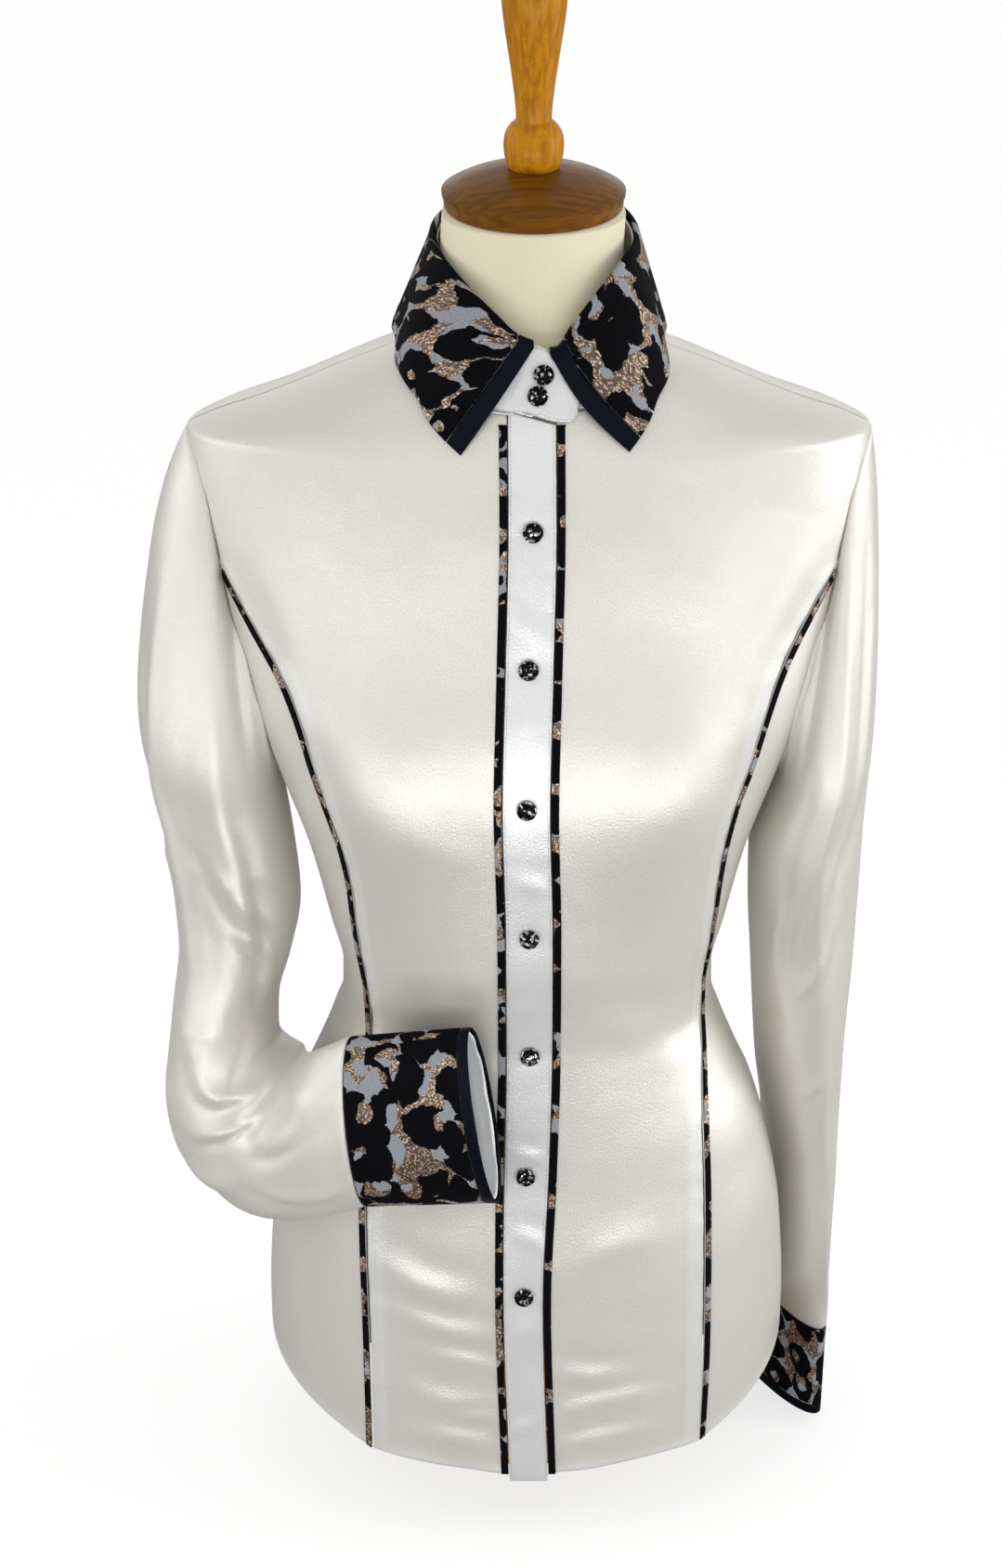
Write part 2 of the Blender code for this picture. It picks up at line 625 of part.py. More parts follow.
def side_rows(side):
    """Places of the side front, princess seam to side seam."""
    inner = spread(princess_line(side), LOWER_STEPS)
    seam = [(side * 90, height) for height in np.linspace(hem_height(90), UNDERARM_HEIGHT, FINE)]
    outer = [*spread(seam, SIDE_SEAM_STEPS), *armhole_places(side, False)[1 : UNDER_STEPS + 1]]
    outer[-1] = between(outer[-2], outer[-1], SIDE_PANEL_END)
    rows = []
    for left, right in zip(inner, outer):
        left = (shift_turn(left[0], left[1], side * SEAM), left[1])
        right = (shift_turn(right[0], right[1], -side * SEAM), right[1])
        rows.append([between(left, right, share) for share in row_shares(left, right, SIDE_COLUMNS)])
    return rows


def side_panel(side, label):
    """Side front, and the flat piping that lies along its princess seam."""
    places = side_rows(side)
    rows = [rightwards(side, [torso_point(*place) for place in row]) for row in places]
    cloth(f"front_side_{label}", rows, WALL, SATIN)
    out = GAP + PIPING_WALL
    rows = [rightwards(side, [torso_point(*place, out) for place in row[:2]]) for row in places[:-1]]
    cloth(f"princess_piping_{label}", rows, PIPING_WALL, BROCADE)


def placket_band():
    """The white band down the front, between its two pipings."""
    stops = [PLACKET_BOTTOM, *[height for height, shift in SNAPS][::-1], PLACKET_TOP]
    heights = [PLACKET_BOTTOM]
    for low, high in zip(stops, stops[1:]):
        heights += list(np.linspace(low, high, BAND_STEPS + 1)[1:])
    rows = []
    for height in heights:
        row = []
        slant = ((height - PLACKET_BOTTOM) / (PLACKET_TOP - PLACKET_BOTTOM)) ** NECK_SLANT_POWER
        for share in BAND_SHARES:
            x = read(PLACKET, height, 1) + share * read(PLACKET, height, 2)
            z = height - slant * (NECK_SLANT * x + GAP)
            row.append(torso_point(turn_at(x, z), z, BAND_WALL / 2))
        rows.append(row)
    cloth("placket_band", rows, BAND_WALL, SATIN_WHITE)


def back_panel():
    """The back in one piece, cut on the fold."""
    middle = [(180.0, height) for height in np.linspace(hem_height(180), neck_height(180), FINE)]
    steps = SIDE_SEAM_STEPS + BACK_ARM_STEPS
    inner = spread(middle, steps - BACK_NECK_STEPS)
    last = 90 + shoulder_gap()
    inner += [(turn, neck_height(turn)) for turn in np.linspace(180, last, BACK_NECK_STEPS + 1)[1:]]
    seam = [(90.0, height) for height in np.linspace(hem_height(90), UNDERARM_HEIGHT, FINE)]
    outer = [*spread(seam, SIDE_SEAM_STEPS), *armhole_places(1, True)[1:]]
    outer = [(shift_turn(turn, height, SEAM), height) for turn, height in outer]
    outer[-1] = (90 + shoulder_gap(), outer[-1][1])
    rows = []
    for k, (left, right) in enumerate(zip(outer, inner)):
        shares = np.linspace(0, 1, BACK_COLUMNS + 1)
        if k == steps:
            shares = [1 - share for share in row_shares(right, left, CENTRE_COLUMNS)][::-1]
        places = [between(left, right, share) for share in shares]
        row = [torso_point(*place) for place in places]
        if right[0] == 180.0:
            row[-1][0] = 0.0
        rows.append(row)
    cloth("back", rows, WALL, SATIN, mirror=True)


# ---------------------------------------------------------------- sleeves and cuffs
def ring(row, side, angles, grow=0.0):
    """Points of one ring of a sleeve or cuff."""
    x, y, z, half_out, half_front = row[:5]
    bend, turn, dip = (math.radians(value) for value in row[5:])
    level = math.cos(bend)
    out = np.array([side * level * math.cos(turn), level * math.sin(turn), -math.sin(bend)])
    front = np.array([side * math.sin(turn), -math.cos(turn), -math.tan(dip)])
    centre = np.array([side * x, y, z])
    return [
        centre + (half_out + grow) * math.cos(a) * out + (half_front + grow) * math.sin(a) * front
        for a in angles
    ]


def sleeve_angles():
    """Angles round a sleeve that go with the armhole's places, shoulder point first, front side next."""
    front = np.linspace(0, math.pi, UNDER_STEPS + UPPER_STEPS + 1)
    back = np.linspace(math.pi, 2 * math.pi, BACK_ARM_STEPS + 1)
    return [*front[:-1], *back[:-1]]


def fold_depth(folds, angle, along):
    """How far the sleeve's face is pressed in by its folds."""
    depth = 0.0
    for middle, half, deep, first, last in folds:
        off = (math.degrees(angle) - middle + 180) % 360 - 180
        if first < along < last:
            reach = math.sin(math.pi * (along - first) / (last - first)) ** FOLD_POWER
            depth += deep * reach * math.exp(-((off / half) ** 2))
    return depth


def smooth_rows(table, count):
    """As many rings as wanted, on smooth curves through a table's rows."""
    rows = [(k, *row) for k, row in enumerate(table)]
    places = np.linspace(0, len(table) - 1, count)
    return [tuple(read(rows, at, column) for column in range(1, len(rows[0]))) for at in places]


def sleeve(side, label, table, folds, head_out):
    """Set-in sleeve from the armhole to the cuff."""
    angles = sleeve_angles()
    armhole = [torso_face(*place) for place in armhole_places(side, False)[::-1]]
    armhole += [torso_face(*place) for place in armhole_places(side, True)[1:-1]]
    armhole = [clear_of_torso(point, ARMHOLE_GAP) for point in armhole]
    first = ring(table[0], side, angles)
    rows = []
    for share in np.linspace(0, 1, CAP_STEPS + 1)[:-1]:
        row = []
        for angle, start, end in zip(angles, armhole, first):
            puff = head_out * math.sin(math.pi * share) ** HEAD_POWER
            lean = np.array([side * max(0.0, math.cos(angle)), -HEAD_LEAN * math.sin(angle), 0.0])
            row.append(start + (end - start) * share + puff * lean)
        rows.append(row)
    rows += [ring(row, side, angles) for row in table]
    for k, row in enumerate(rows[1:-1], 1):
        middle = np.mean(row, axis=0)
        along = k / (len(rows) - 1)
        for c, angle in enumerate(angles):
            inward = middle - row[c]
            pressed = row[c] + inward / np.linalg.norm(inward) * fold_depth(folds, angle, along)
            row[c] = clear_of_torso(pressed, SLEEVE_CLEAR)
    cloth(f"sleeve_{label}", [tube_row(side, row) for row in rows[::-1]], WALL, SATIN, closed=True)


def tube_row(side, row):
    """A ring that was made outside, front, inside, back, as it runs to the right seen from outside."""
    return row if side < 0 else row[::-1]


def clear_of_torso(point, distance):
    """The point, moved out from the torso's axis until it is this far from the shirt's body."""
    turn = math.degrees(math.atan2(point[0], -point[1]))
    face = torso_face(turn, point[2])
    reach, wanted = math.hypot(*point[:2]), math.hypot(*face[:2]) + distance
    if reach < wanted:
        point = np.array([point[0] * wanted / reach, point[1] * wanted / reach, point[2]])
    return point


def cuff(side, label, top, wrist, faced):
    """Brocade cuff, the dark satin round its edge, and the white facing where it shows."""
    angles = sleeve_angles()
    length = math.dist(top[:3], wrist[:3])
    start, edge = CUFF_GAP / length, 1 - BINDING_WIDTH / length

    def tube(name, first, last, steps, grow, wall, colour):
        shares = np.linspace(first, last, steps + 1)
        rows = [ring(between(top, wrist, share), side, angles, grow) for share in shares]
        cloth(name, [tube_row(side, row) for row in rows[::-1]], wall, colour, closed=True)

    tube(f"cuff_{label}", start, edge - GAP / length, 2, 0.0, WALL, BROCADE)
    tube(f"cuff_binding_{label}", edge, 1.0, 1, 0.0, WALL, SATIN_BLACK)
    if faced:
        tube(f"cuff_facing_{label}", start, 1.0, 2, -FACING_INSET, FACING_WALL, SATIN_WHITE)
    for k, share in enumerate(CUFF_SNAPS, 1):
        row = between(top, wrist, share)
        angle = math.radians(CUFF_SNAP_ANGLE)
        place, ahead = ring(row, side, [angle, angle + 0.1])
        along = ring(between(top, wrist, share + SEAM_PROBE), side, [angle])[0] - place
        out = np.cross(ahead - place, along)
        out /= np.linalg.norm(out)
        if np.dot(out, place - np.array([side * row[0], row[1], row[2]])) < 0:
            out = -out
        snap(f"cuff_snap_{label}_{k}", place, out)


# ---------------------------------------------------------------- collar
def overlap(turn):
    """How far the stand lies out of its own oval, from the under end (0) round to the tab (360 on)."""
    share = min(max((turn - OVERLAP_FROM) / (OVERLAP_FULL - OVERLAP_FROM), 0.0), 1.0)
    return OVERLAP_OUT * share * share * (3 - 2 * share)


def fold_height(turn):
    """Height of the stand's top."""
    return read(FOLD, from_front(turn), 2 if turn < 180 else 1)


def fold_point(turn):
    """Top edge of the stand."""
    angle, reach = math.radians(turn), overlap(turn)
    x = FOLD_CENTRE[0] + (FOLD_HALF[0] + reach) * math.sin(angle)
    y = FOLD_CENTRE[1] - (FOLD_HALF[1] + reach) * math.cos(angle)
    return np.array([x, y, fold_height(turn)])


def stand_point(turn, rise):
    """Outer face of the stand between the neck seam (0) and its top (1)."""
    if turn >= TAB[0][0]:
        low, high = read(TAB, turn, 1), read(TAB, turn, 2)
    else:
        low, high = neck_height(turn) + GAP, fold_height(turn) - STAND_UNDER_FOLD
        if turn <= UNDER_END:
            low = TAB[0][1]
    seam, top = torso_point(turn, neck_height(turn), overlap(turn)), fold_point(turn)
    height = low + (high - low) * rise
    share = (height - seam[2]) / (top[2] - seam[2])
    if share < 0:
        return torso_point(turn, height, overlap(turn))
    return seam + (top - seam) * share


def neck_turns(side):
    """Turns of a centre panel's corners along the neck seam, front edge first."""
    places = front_edge_places(side, FRONT_EDGE_UNDER)[LOWER_STEPS + FRONT_EDGE_STEPS :]
    return [turn for turn, height in places]


def collar_stand():
    """Stand round the neck, its rounded end lying over the other end."""
    behind = np.linspace(90 + shoulder_gap(), 270 - shoulder_gap(), 2 * BACK_NECK_STEPS + 1)
    ahead = [turn + 360 for turn in neck_turns(-1)[::-1]]
    turns = [UNDER_END, *neck_turns(1), *behind, *ahead, *[row[0] for row in TAB]]
    rows = [[stand_point(turn, rise) for turn in turns] for rise in (0.0, 0.5, 1.0)]
    cloth("collar_stand", rows, WALL, SATIN_WHITE)


def clear_of_stand(point, distance):
    """The point, moved out from the neck until it is this far from the stand's outer face."""
    turn = math.degrees(math.atan2(point[0], -point[1])) % 360
    if turn < TAB[-1][0] - 360:
        turn += 360
    seam, top = torso_point(turn, neck_height(turn), overlap(turn)), fold_point(turn)
    share = (point[2] - seam[2]) / (top[2] - seam[2])
    if not 0 < share < 1:
        return point
    face = seam + (top - seam) * share
    reach, wanted = math.hypot(*point[:2]), math.hypot(*face[:2]) + distance
    if reach >= wanted:
        return point
    return np.array([point[0] * wanted / reach, point[1] * wanted / reach, point[2]])


def leaf_column(side, share):
    """One line of the leaf, from inside the fold to the outer edge."""
    start, belly = (LEAF_START[0], LEAF_BELLY[0]) if side < 0 else (LEAF_START[1], LEAF_BELLY[1])
    table = LEAF_EDGE_RIGHT if side < 0 else LEAF_EDGE_LEFT
    fold_turn = start + (180 - start) * share
    if side < 0:
        fold_turn = 360 - fold_turn
    over_tab = LEAF_OVER_TAB * max(0.0, 1 - fold_turn / LEAF_OVER_TAB_TURN)
    base = fold_point(fold_turn)
    round_way = np.array([math.sin(math.radians(fold_turn)), -math.cos(math.radians(fold_turn)), 0.0])
    rows = [(k, *row) for k, row in enumerate(table)]
    points = [
        torso_point(side * read(rows, at, 1), read(rows, at, 2), read(rows, at, 3))
        for at in np.linspace(0, len(table) - 1, 4 * len(table))
    ]
    run = np.concatenate([[0], np.cumsum([np.linalg.norm(b - a) for a, b in zip(points, points[1:])])])
    edge = np.array([np.interp(share * run[-1], run, [p[axis] for p in points]) for axis in range(3)])
    up = np.array([0.0, 0.0, 1.0])
    line = []
    for k, (out, rise) in enumerate(LEAF_FOLD):
        line.append(base + (out + over_tab * (k > 0)) * round_way + rise * up)
    crest = line.pop()
    roll = read(LEAF_ROLL, from_front(fold_turn), 1)
    for fall in LEAF_FALLS:
        point = crest + (edge - crest) * fall
        point = point + roll * math.sin(math.pi * fall) * round_way
        point[0] -= side * belly * math.sin(math.pi * fall) * max(0.0, 1 - share / LEAF_BELLY_SHARE)
        line.append(clear_of_stand(point, LEAF_WALL + LEAF_CLEAR))
    return line


def collar():
    """Brocade leaves in one piece round the neck, and the dark satin on their front edges."""
    shares = np.linspace(LEAF_BINDING_SHARE + LEAF_SEAM_SHARE, 1, LEAF_COLUMNS)
    right = [leaf_column(-1, share) for share in shares]
    left = [leaf_column(1, share) for share in shares[:-1]]
    columns = [*right, *left[::-1]]
    cloth("collar_leaf", leaf_rows(columns), LEAF_WALL, BROCADE)
    for side, label in ((-1, "right"), (1, "left")):
        columns = [leaf_column(side, share) for share in (0.0, LEAF_BINDING_SHARE)]
        if side > 0:
            columns = columns[::-1]
        cloth(f"collar_binding_{label}", leaf_rows(columns), LEAF_WALL, SATIN_BLACK)


def leaf_rows(columns):
    """Rows that run to the right seen from outside, from columns that run clockwise seen from above."""
    return [list(row)[::-1] for row in list(zip(*columns))[::-1]]


# ---------------------------------------------------------------- snaps
def snap(name, face, out):
    """Domed snap cap with a rolled rim, just off the cloth."""
    profile = [(SNAP_RADIUS * across, SNAP_HEIGHT * up) for across, up in SNAP_PROFILE]
    made = turned(name, profile, GUNMETAL, SNAP_SIDES)
    stand_on(made, face + SNAP_LIFT * out, out)


def placket_snaps():
    """Seven snaps down the placket."""
    for k, (height, shift) in enumerate(SNAPS, 1):
        turn = turn_at(read(PLACKET, height, 1) + shift, height)
        out = torso_out(turn, height)
        snap(f"placket_snap_{k}", torso_point(turn, height, BAND_WALL / 2), out)


def stand_snaps():
    """Two snaps, one over the other, on the stand's rounded end."""
    for label, (turn, rise) in zip(("upper", "lower"), STAND_SNAPS):
        turn += 360
        place = stand_point(turn, rise)
        across = stand_point(turn + 1, rise) - stand_point(turn - 1, rise)
        up = stand_point(turn, rise + SEAM_PROBE) - stand_point(turn, rise - SEAM_PROBE)
        out = np.cross(across, up)
        snap(f"stand_snap_{label}", place, out / np.linalg.norm(out))


# ---------------------------------------------------------------- dress form and stand
def form_ring(height, inset):
    """Ring of the form under the shirt, flat where the arms would be."""
    points = []
    for k in range(FORM_SIDES):
        turn = 360.0 * k / FORM_SIDES
        point = torso_point(turn, height, -inset - FORM_BACK_INSET * (90 < turn < 270))
        point[0] = math.copysign(min(abs(point[0]), FORM_HALF_WIDTH), point[0])
        points.append(point)
    return points


def neck_ring(half, front, back, height_of, middle):
    """Oval ring of the form's neck."""
    points = []
    for k in range(FORM_SIDES):
        angle = 2 * math.pi * k / FORM_SIDES
        depth = front if math.cos(angle) > 0 else back
        x, y = middle + half * math.sin(angle), -depth * math.cos(angle)
        points.append(np.array([x, y, height_of(y)]))
    return points


def form():
    """Torso and neck of the form in one piece."""
    narrow = np.array([FORM_FOOT_SHARE, FORM_FOOT_SHARE, 0.0])
    foot = np.array([0.0, 0.0, FORM_BOTTOM])
    rings = [[point * narrow + foot for point in form_ring(FORM_BOTTOM, FORM_INSET)]]
    rings += [form_ring(height, FORM_INSET) for height in FORM_HEIGHTS]
    for height, share in FORM_SHOULDERS:
        rings.append(form_ring(height, SHOULDER_INSET + share * (FORM_INSET - SHOULDER_INSET)))
    for height, half, front, back in NECK:
        rings.append(neck_ring(half, front, back, lambda y, level=height: level, CAP_CENTRE[0] / 2))
    tilt = math.tan(math.radians(CAP_TILT))
    centre_y, top = CAP_CENTRE[1], CAP_CENTRE[2] - GAP
    front, back = NECK_TOP_HALF - centre_y, NECK_TOP_HALF + centre_y
    last = neck_ring(NECK_TOP_HALF, front, back, lambda y: top + tilt * (y - centre_y), CAP_CENTRE[0])
    add_to_garment("form_torso", grid_mesh("form_torso", [*rings, last], True, capped=True), JERSEY)


def cap_and_finial():
    """Wooden disc on the neck and the turned finial on it."""
    lean = math.radians(CAP_TILT)
    axis = np.array([0.0, -math.sin(lean), math.cos(lean)])
    edge, widest = CAP_RADIUS, CAP_EDGE + CAP_ROUND
    profile = [(CAP_SEAT, widest + CAP_DOME)]
    for share in CAP_SHARES:
        profile.append((edge * share, widest + CAP_DOME * (1 - share**CAP_FULLNESS)))
    profile += [(edge - 0.0008, CAP_EDGE), (edge - 0.0014, 0.0012), (edge - 0.0026, 0.0)]
    stand_on(turned("neck_cap", profile, DARK_WOOD, CAP_SIDES), np.array(CAP_CENTRE), axis)
    profile = [(FINIAL_TOP_RADIUS, FINIAL_TOP), *FINIAL[::-1]]
    foot = np.array(CAP_CENTRE) + axis * (widest + CAP_DOME)
    stand_on(turned("finial", profile, WARM_WOOD, FINIAL_SIDES), foot, axis)


def stand():
    """Round base and short pole under the form."""
    profile = [(BASE_RADIUS - inside, BASE_HEIGHT - down) for inside, down in BASE_EDGE]
    profile += [(BASE_RADIUS, BASE_CHAMFER), (BASE_RADIUS - BASE_CHAMFER, 0.0)]
    base = turned("stand_base", profile, WARM_WOOD, BASE_SIDES)
    base.parent = None
    foot, top, flange = BASE_HEIGHT + GAP, FORM_BOTTOM - GAP, POLE_RADIUS + FLANGE_OUT
    profile = [(POLE_RADIUS, top), (POLE_RADIUS, foot + FLANGE_HEIGHT + FLANGE_SLOPE)]
    profile += [(flange, foot + FLANGE_HEIGHT), (flange, foot)]
    pole = turned("stand_pole", profile, WARM_WOOD, POLE_SIDES)
    pole.parent = None


# ---------------------------------------------------------------- the whole
def main():
    """Builds every piece."""
    clear_scene()
    bpy.context.scene.collection.children.link(bpy.data.collections.new(COLLECTION))
    frame = bpy.data.objects.new("torso_frame", None)
    frame.location = (0.0, TORSO_Y, 0.0)
    bpy.data.collections[COLLECTION].objects.link(frame)
    for side, label in ((-1, "right"), (1, "left")):
        centre_panel(side, label)
        side_panel(side, label)
    placket_band()
    back_panel()
    sleeve(-1, "right", smooth_rows(BENT_SLEEVE, BENT_RINGS), BENT_FOLDS, BENT_HEAD)
    sleeve(1, "left", smooth_rows(HANGING_SLEEVE, HANGING_RINGS), HANGING_FOLDS, HANGING_HEAD)
    cuff(-1, "right", BENT_SLEEVE[-1], BENT_WRIST, True)
    cuff(1, "left", HANGING_SLEEVE[-1], HANGING_WRIST, False)
    collar_stand()
    collar()
    placket_snaps()
    stand_snaps()
    form()
    cap_and_finial()
    stand()


if __name__ == "__main__":
    main()
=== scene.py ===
"""Looks of the western snap shirt on its dress form: satin, brocade, snaps, jersey, wood and studio.

Metres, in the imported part's frame: +Z up, the shirt's front faces -Y and +X is the wearer's left. A place
on the torso is a turn (degrees from centre front, positive towards +X) and a height above the floor. The
shirt and the form are worked out in a torso frame, which stands TORSO_Y along Y from the part's own.
"""

import logging
import math
from dataclasses import dataclass
from enum import Enum
from typing import Any, Callable, Iterable, Sequence

import bpy
import numpy as np
from mathutils import Matrix, Vector


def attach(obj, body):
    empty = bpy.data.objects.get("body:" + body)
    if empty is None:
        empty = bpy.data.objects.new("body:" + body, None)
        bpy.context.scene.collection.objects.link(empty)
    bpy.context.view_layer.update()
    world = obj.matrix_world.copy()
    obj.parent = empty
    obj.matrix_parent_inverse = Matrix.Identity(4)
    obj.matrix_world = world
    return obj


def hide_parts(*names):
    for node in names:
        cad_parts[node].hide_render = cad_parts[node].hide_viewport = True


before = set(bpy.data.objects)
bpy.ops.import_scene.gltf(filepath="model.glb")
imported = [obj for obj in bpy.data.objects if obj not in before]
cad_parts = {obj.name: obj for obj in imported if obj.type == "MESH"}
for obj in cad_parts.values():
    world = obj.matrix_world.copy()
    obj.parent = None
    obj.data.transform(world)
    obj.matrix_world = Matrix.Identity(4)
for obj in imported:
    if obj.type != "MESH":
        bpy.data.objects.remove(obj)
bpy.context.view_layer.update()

BODY = "root"
LOG = logging.getLogger("western_shirt")

Array = np.ndarray
Table = Sequence[Sequence[float]]
Place = tuple[float, float]
Triple = tuple[float, float, float]

# ---------------------------------------------------------------- sizes shared by the pieces
TORSO_Y = -0.034
WALL = 0.0012
LEAF_WALL = 0.0014
BAND_WALL = 0.0024
PIPING_WALL = 0.0010
GAP = 0.0003
SEAM = 0.0004
SLEEVE_CLEAR = 0.0020
PIPING_WIDTH = 0.0042
FRONT_EDGE_UNDER = 0.0005
TIP_HEIGHT = 0.6385
UNDERARM_HEIGHT = 0.442
JUNCTION_HEIGHT = 0.572
SHOULDER_NECK_HEIGHT = 0.6885

# Torso of the shirt: height, half width, front depth, back depth, squareness
TORSO = (
    (0.000, 0.1462, 0.1080, 0.1120, 2.2),
    (0.034, 0.1490, 0.1080, 0.1130, 2.2),
    (0.067, 0.1515, 0.1065, 0.1130, 2.2),
    (0.102, 0.1530, 0.1045, 0.1110, 2.2),
    (0.161, 0.1497, 0.1020, 0.1040, 2.2),
    (0.217, 0.1388, 0.0980, 0.0960, 2.2),
    (0.242, 0.1312, 0.0972, 0.0925, 2.2),
    (0.262, 0.1222, 0.0968, 0.0895, 2.2),
    (0.285, 0.1127, 0.0963, 0.0865, 2.2),
    (0.305, 0.1063, 0.0960, 0.0850, 2.2),
    (0.322, 0.1058, 0.0972, 0.0850, 2.2),
    (0.355, 0.1130, 0.1012, 0.0880, 2.25),
    (0.399, 0.1238, 0.1020, 0.0940, 2.3),
    (0.442, 0.1390, 0.1022, 0.1000, 2.3),
    (0.482, 0.1530, 0.1005, 0.1040, 2.3),
    (0.532, 0.1670, 0.0930, 0.1040, 2.2),
    (0.582, 0.1790, 0.0862, 0.1000, 2.1),
    (0.622, 0.1850, 0.0810, 0.0950, 2.0),
    (0.6385, 0.1852, 0.0775, 0.0920, 2.0),
    (0.646, 0.1730, 0.0757, 0.0905, 2.0),
    (0.656, 0.1440, 0.0730, 0.0870, 2.0),
    (0.672, 0.1050, 0.0665, 0.0800, 2.0),
    (0.6885, 0.0680, 0.0605, 0.0720, 2.0),
    (0.712, 0.0590, 0.0560, 0.0640, 2.0),
)
# Bust: how far out, turn and spread of its middle, height and half of its rise
BUST_OUT, BUST_TURN, BUST_SPREAD, BUST_HEIGHT, BUST_RISE = 0.010, 40.0, 16.0, 0.448, 0.055
# Curved shirt-tail hem: turn, height
HEM = (
    (0, 0.038), (30, 0.041), (48, 0.045), (60, 0.051), (70, 0.062), (80, 0.078), (90, 0.086),
    (100, 0.078), (112, 0.060), (130, 0.046), (180, 0.038),
)
# Neck seam: turn, height
NECK_SEAM = ((0, 0.6640), (30, 0.668), (60, 0.679), (90, 0.6885), (120, 0.699), (150, 0.708), (180, 0.712))
# Front placket: height, centre x, half width
PLACKET = (
    (0.034, 0.0010, 0.0110),
    (0.154, -0.0025, 0.0112),
    (0.230, -0.0008, 0.0124),
    (0.305, 0.0006, 0.0126),
    (0.380, 0.0003, 0.0127),
    (0.456, -0.0015, 0.0128),
    (0.530, 0.0000, 0.0127),
    (0.605, 0.0014, 0.0126),
    (0.668, 0.0010, 0.0125),
)
PLACKET_BOTTOM = 0.0335
PLACKET_TOP = 0.6640
PIPING_TOP = 0.6600
NECK_SLANT = 0.26
# Princess seams: height, distance from the middle on the wearer's right, and on the left
PRINCESS = (
    (0.040, 0.0897, 0.1005),
    (0.109, 0.0905, 0.1020),
    (0.199, 0.0920, 0.1010),
    (0.256, 0.0905, 0.0990),
    (0.299, 0.0881, 0.0985),
    (0.320, 0.0890, 0.0982),
    (0.343, 0.0915, 0.1005),
    (0.366, 0.0946, 0.1025),
    (0.395, 0.0969, 0.1045),
    (0.420, 0.1013, 0.1075),
    (0.442, 0.1084, 0.1120),
    (0.465, 0.1158, 0.1195),
    (0.493, 0.1235, 0.1272),
    (0.515, 0.1325, 0.1345),
    (0.538, 0.1470, 0.1460),
    (0.556, 0.1580, 0.1570),
)
# Armhole seam from the underarm up to the shoulder point: height, front turn, back turn
ARMHOLE = (
    (UNDERARM_HEIGHT, 90.0, 90.0),
    (0.447, 84.0, 96.0),
    (0.460, 79.0, 101.0),
    (0.482, 75.5, 106.0),
    (0.512, 76.2, 108.0),
    (0.542, 79.3, 107.0),
    (JUNCTION_HEIGHT, 79.5, 105.0),
    (0.597, 80.5, 102.0),
    (0.620, 83.0, 99.0),
    (0.632, 86.0, 95.0),
    (TIP_HEIGHT, 90.0, 90.0),
)
JUNCTION_ROW = 6
# Sleeve rings: x outwards, y, z, half size outwards, half size to the front, bend, turn, dip
BENT_SLEEVE = (
    (0.1780, 0.004, 0.437, 0.0385, 0.0570, 0, 0, 0),
    (0.1705, 0.002, 0.397, 0.0372, 0.0560, 0, 0, 0),
    (0.1665, 0.000, 0.357, 0.0368, 0.0545, 0, 0, 0),
    (0.1685, -0.003, 0.327, 0.0335, 0.0530, 4, 0, 0),
    (0.1745, -0.008, 0.297, 0.0320, 0.0500, 10, 2, 0),
    (0.1765, -0.018, 0.262, 0.0375, 0.0440, 28, 5, 0),
    (0.1620, -0.034, 0.240, 0.0520, 0.0350, 50, 10, 0),
    (0.1455, -0.055, 0.2345, 0.0560, 0.0290, 70, 16, 0),
    (0.1220, -0.082, 0.2470, 0.0550, 0.0230, 85, 20, 0),
    (0.0950, -0.096, 0.2628, 0.0525, 0.0185, 95, 20, 0),
)
BENT_WRIST = (0.0240, -0.1185, 0.2790, 0.0535, 0.0150, 99, 20, 0)
HANGING_SLEEVE = (
    (0.1665, 0.004, 0.437, 0.0255, 0.0560, 0, 0, 0),
    (0.1585, 0.008, 0.392, 0.0320, 0.0560, 0, 0, 0),
    (0.1586, 0.013, 0.352, 0.0311, 0.0550, 0, 2, 0),
    (0.1595, 0.018, 0.311, 0.0287, 0.0545, 0, 5, 0),
    (0.1600, 0.024, 0.270, 0.0255, 0.0540, 0, 8, 0),
    (0.1610, 0.030, 0.230, 0.0215, 0.0530, 0, 12, 0),
    (0.1635, 0.036, 0.182, 0.0158, 0.0520, 0, 15, 0),
    (0.1618, 0.041, 0.142, 0.0148, 0.0520, 0, 18, 2),
    (0.1587, 0.046, 0.098, 0.0140, 0.0510, 0, 24, 6),
    (0.1570, 0.048, 0.074, 0.0136, 0.0500, 0, 27, 9),
)
HANGING_WRIST = (0.1545, 0.048, 0.010, 0.0136, 0.0500, 0, 29, 5)
# Collar stand's top: degrees from centre front, height on the wearer's right, on the left
FOLD = (
    (0, 0.6995, 0.6956),
    (11, 0.7040, 0.6956),
    (20, 0.7115, 0.7060),
    (33, 0.7205, 0.7185),
    (47, 0.7280, 0.7290),
    (62, 0.7335, 0.7362),
    (80, 0.7390, 0.7400),
    (110, 0.7470, 0.7470),
    (145, 0.7530, 0.7530),
    (180, 0.7550, 0.7550),
)
# Rounded end of the stand: turn, bottom height, top height
TAB = (
    (353.0, 0.6669, 0.7000),
    (360.0, 0.6647, 0.6998),
    (365.0, 0.6630, 0.6985),
    (369.0, 0.6616, 0.6943),
    (372.0, 0.6609, 0.6925),
    (375.5, 0.6606, 0.6900),
    (378.4, 0.6622, 0.6855),
    (380.2, 0.6660, 0.6805),
    (380.8, 0.6715, 0.6765),
)
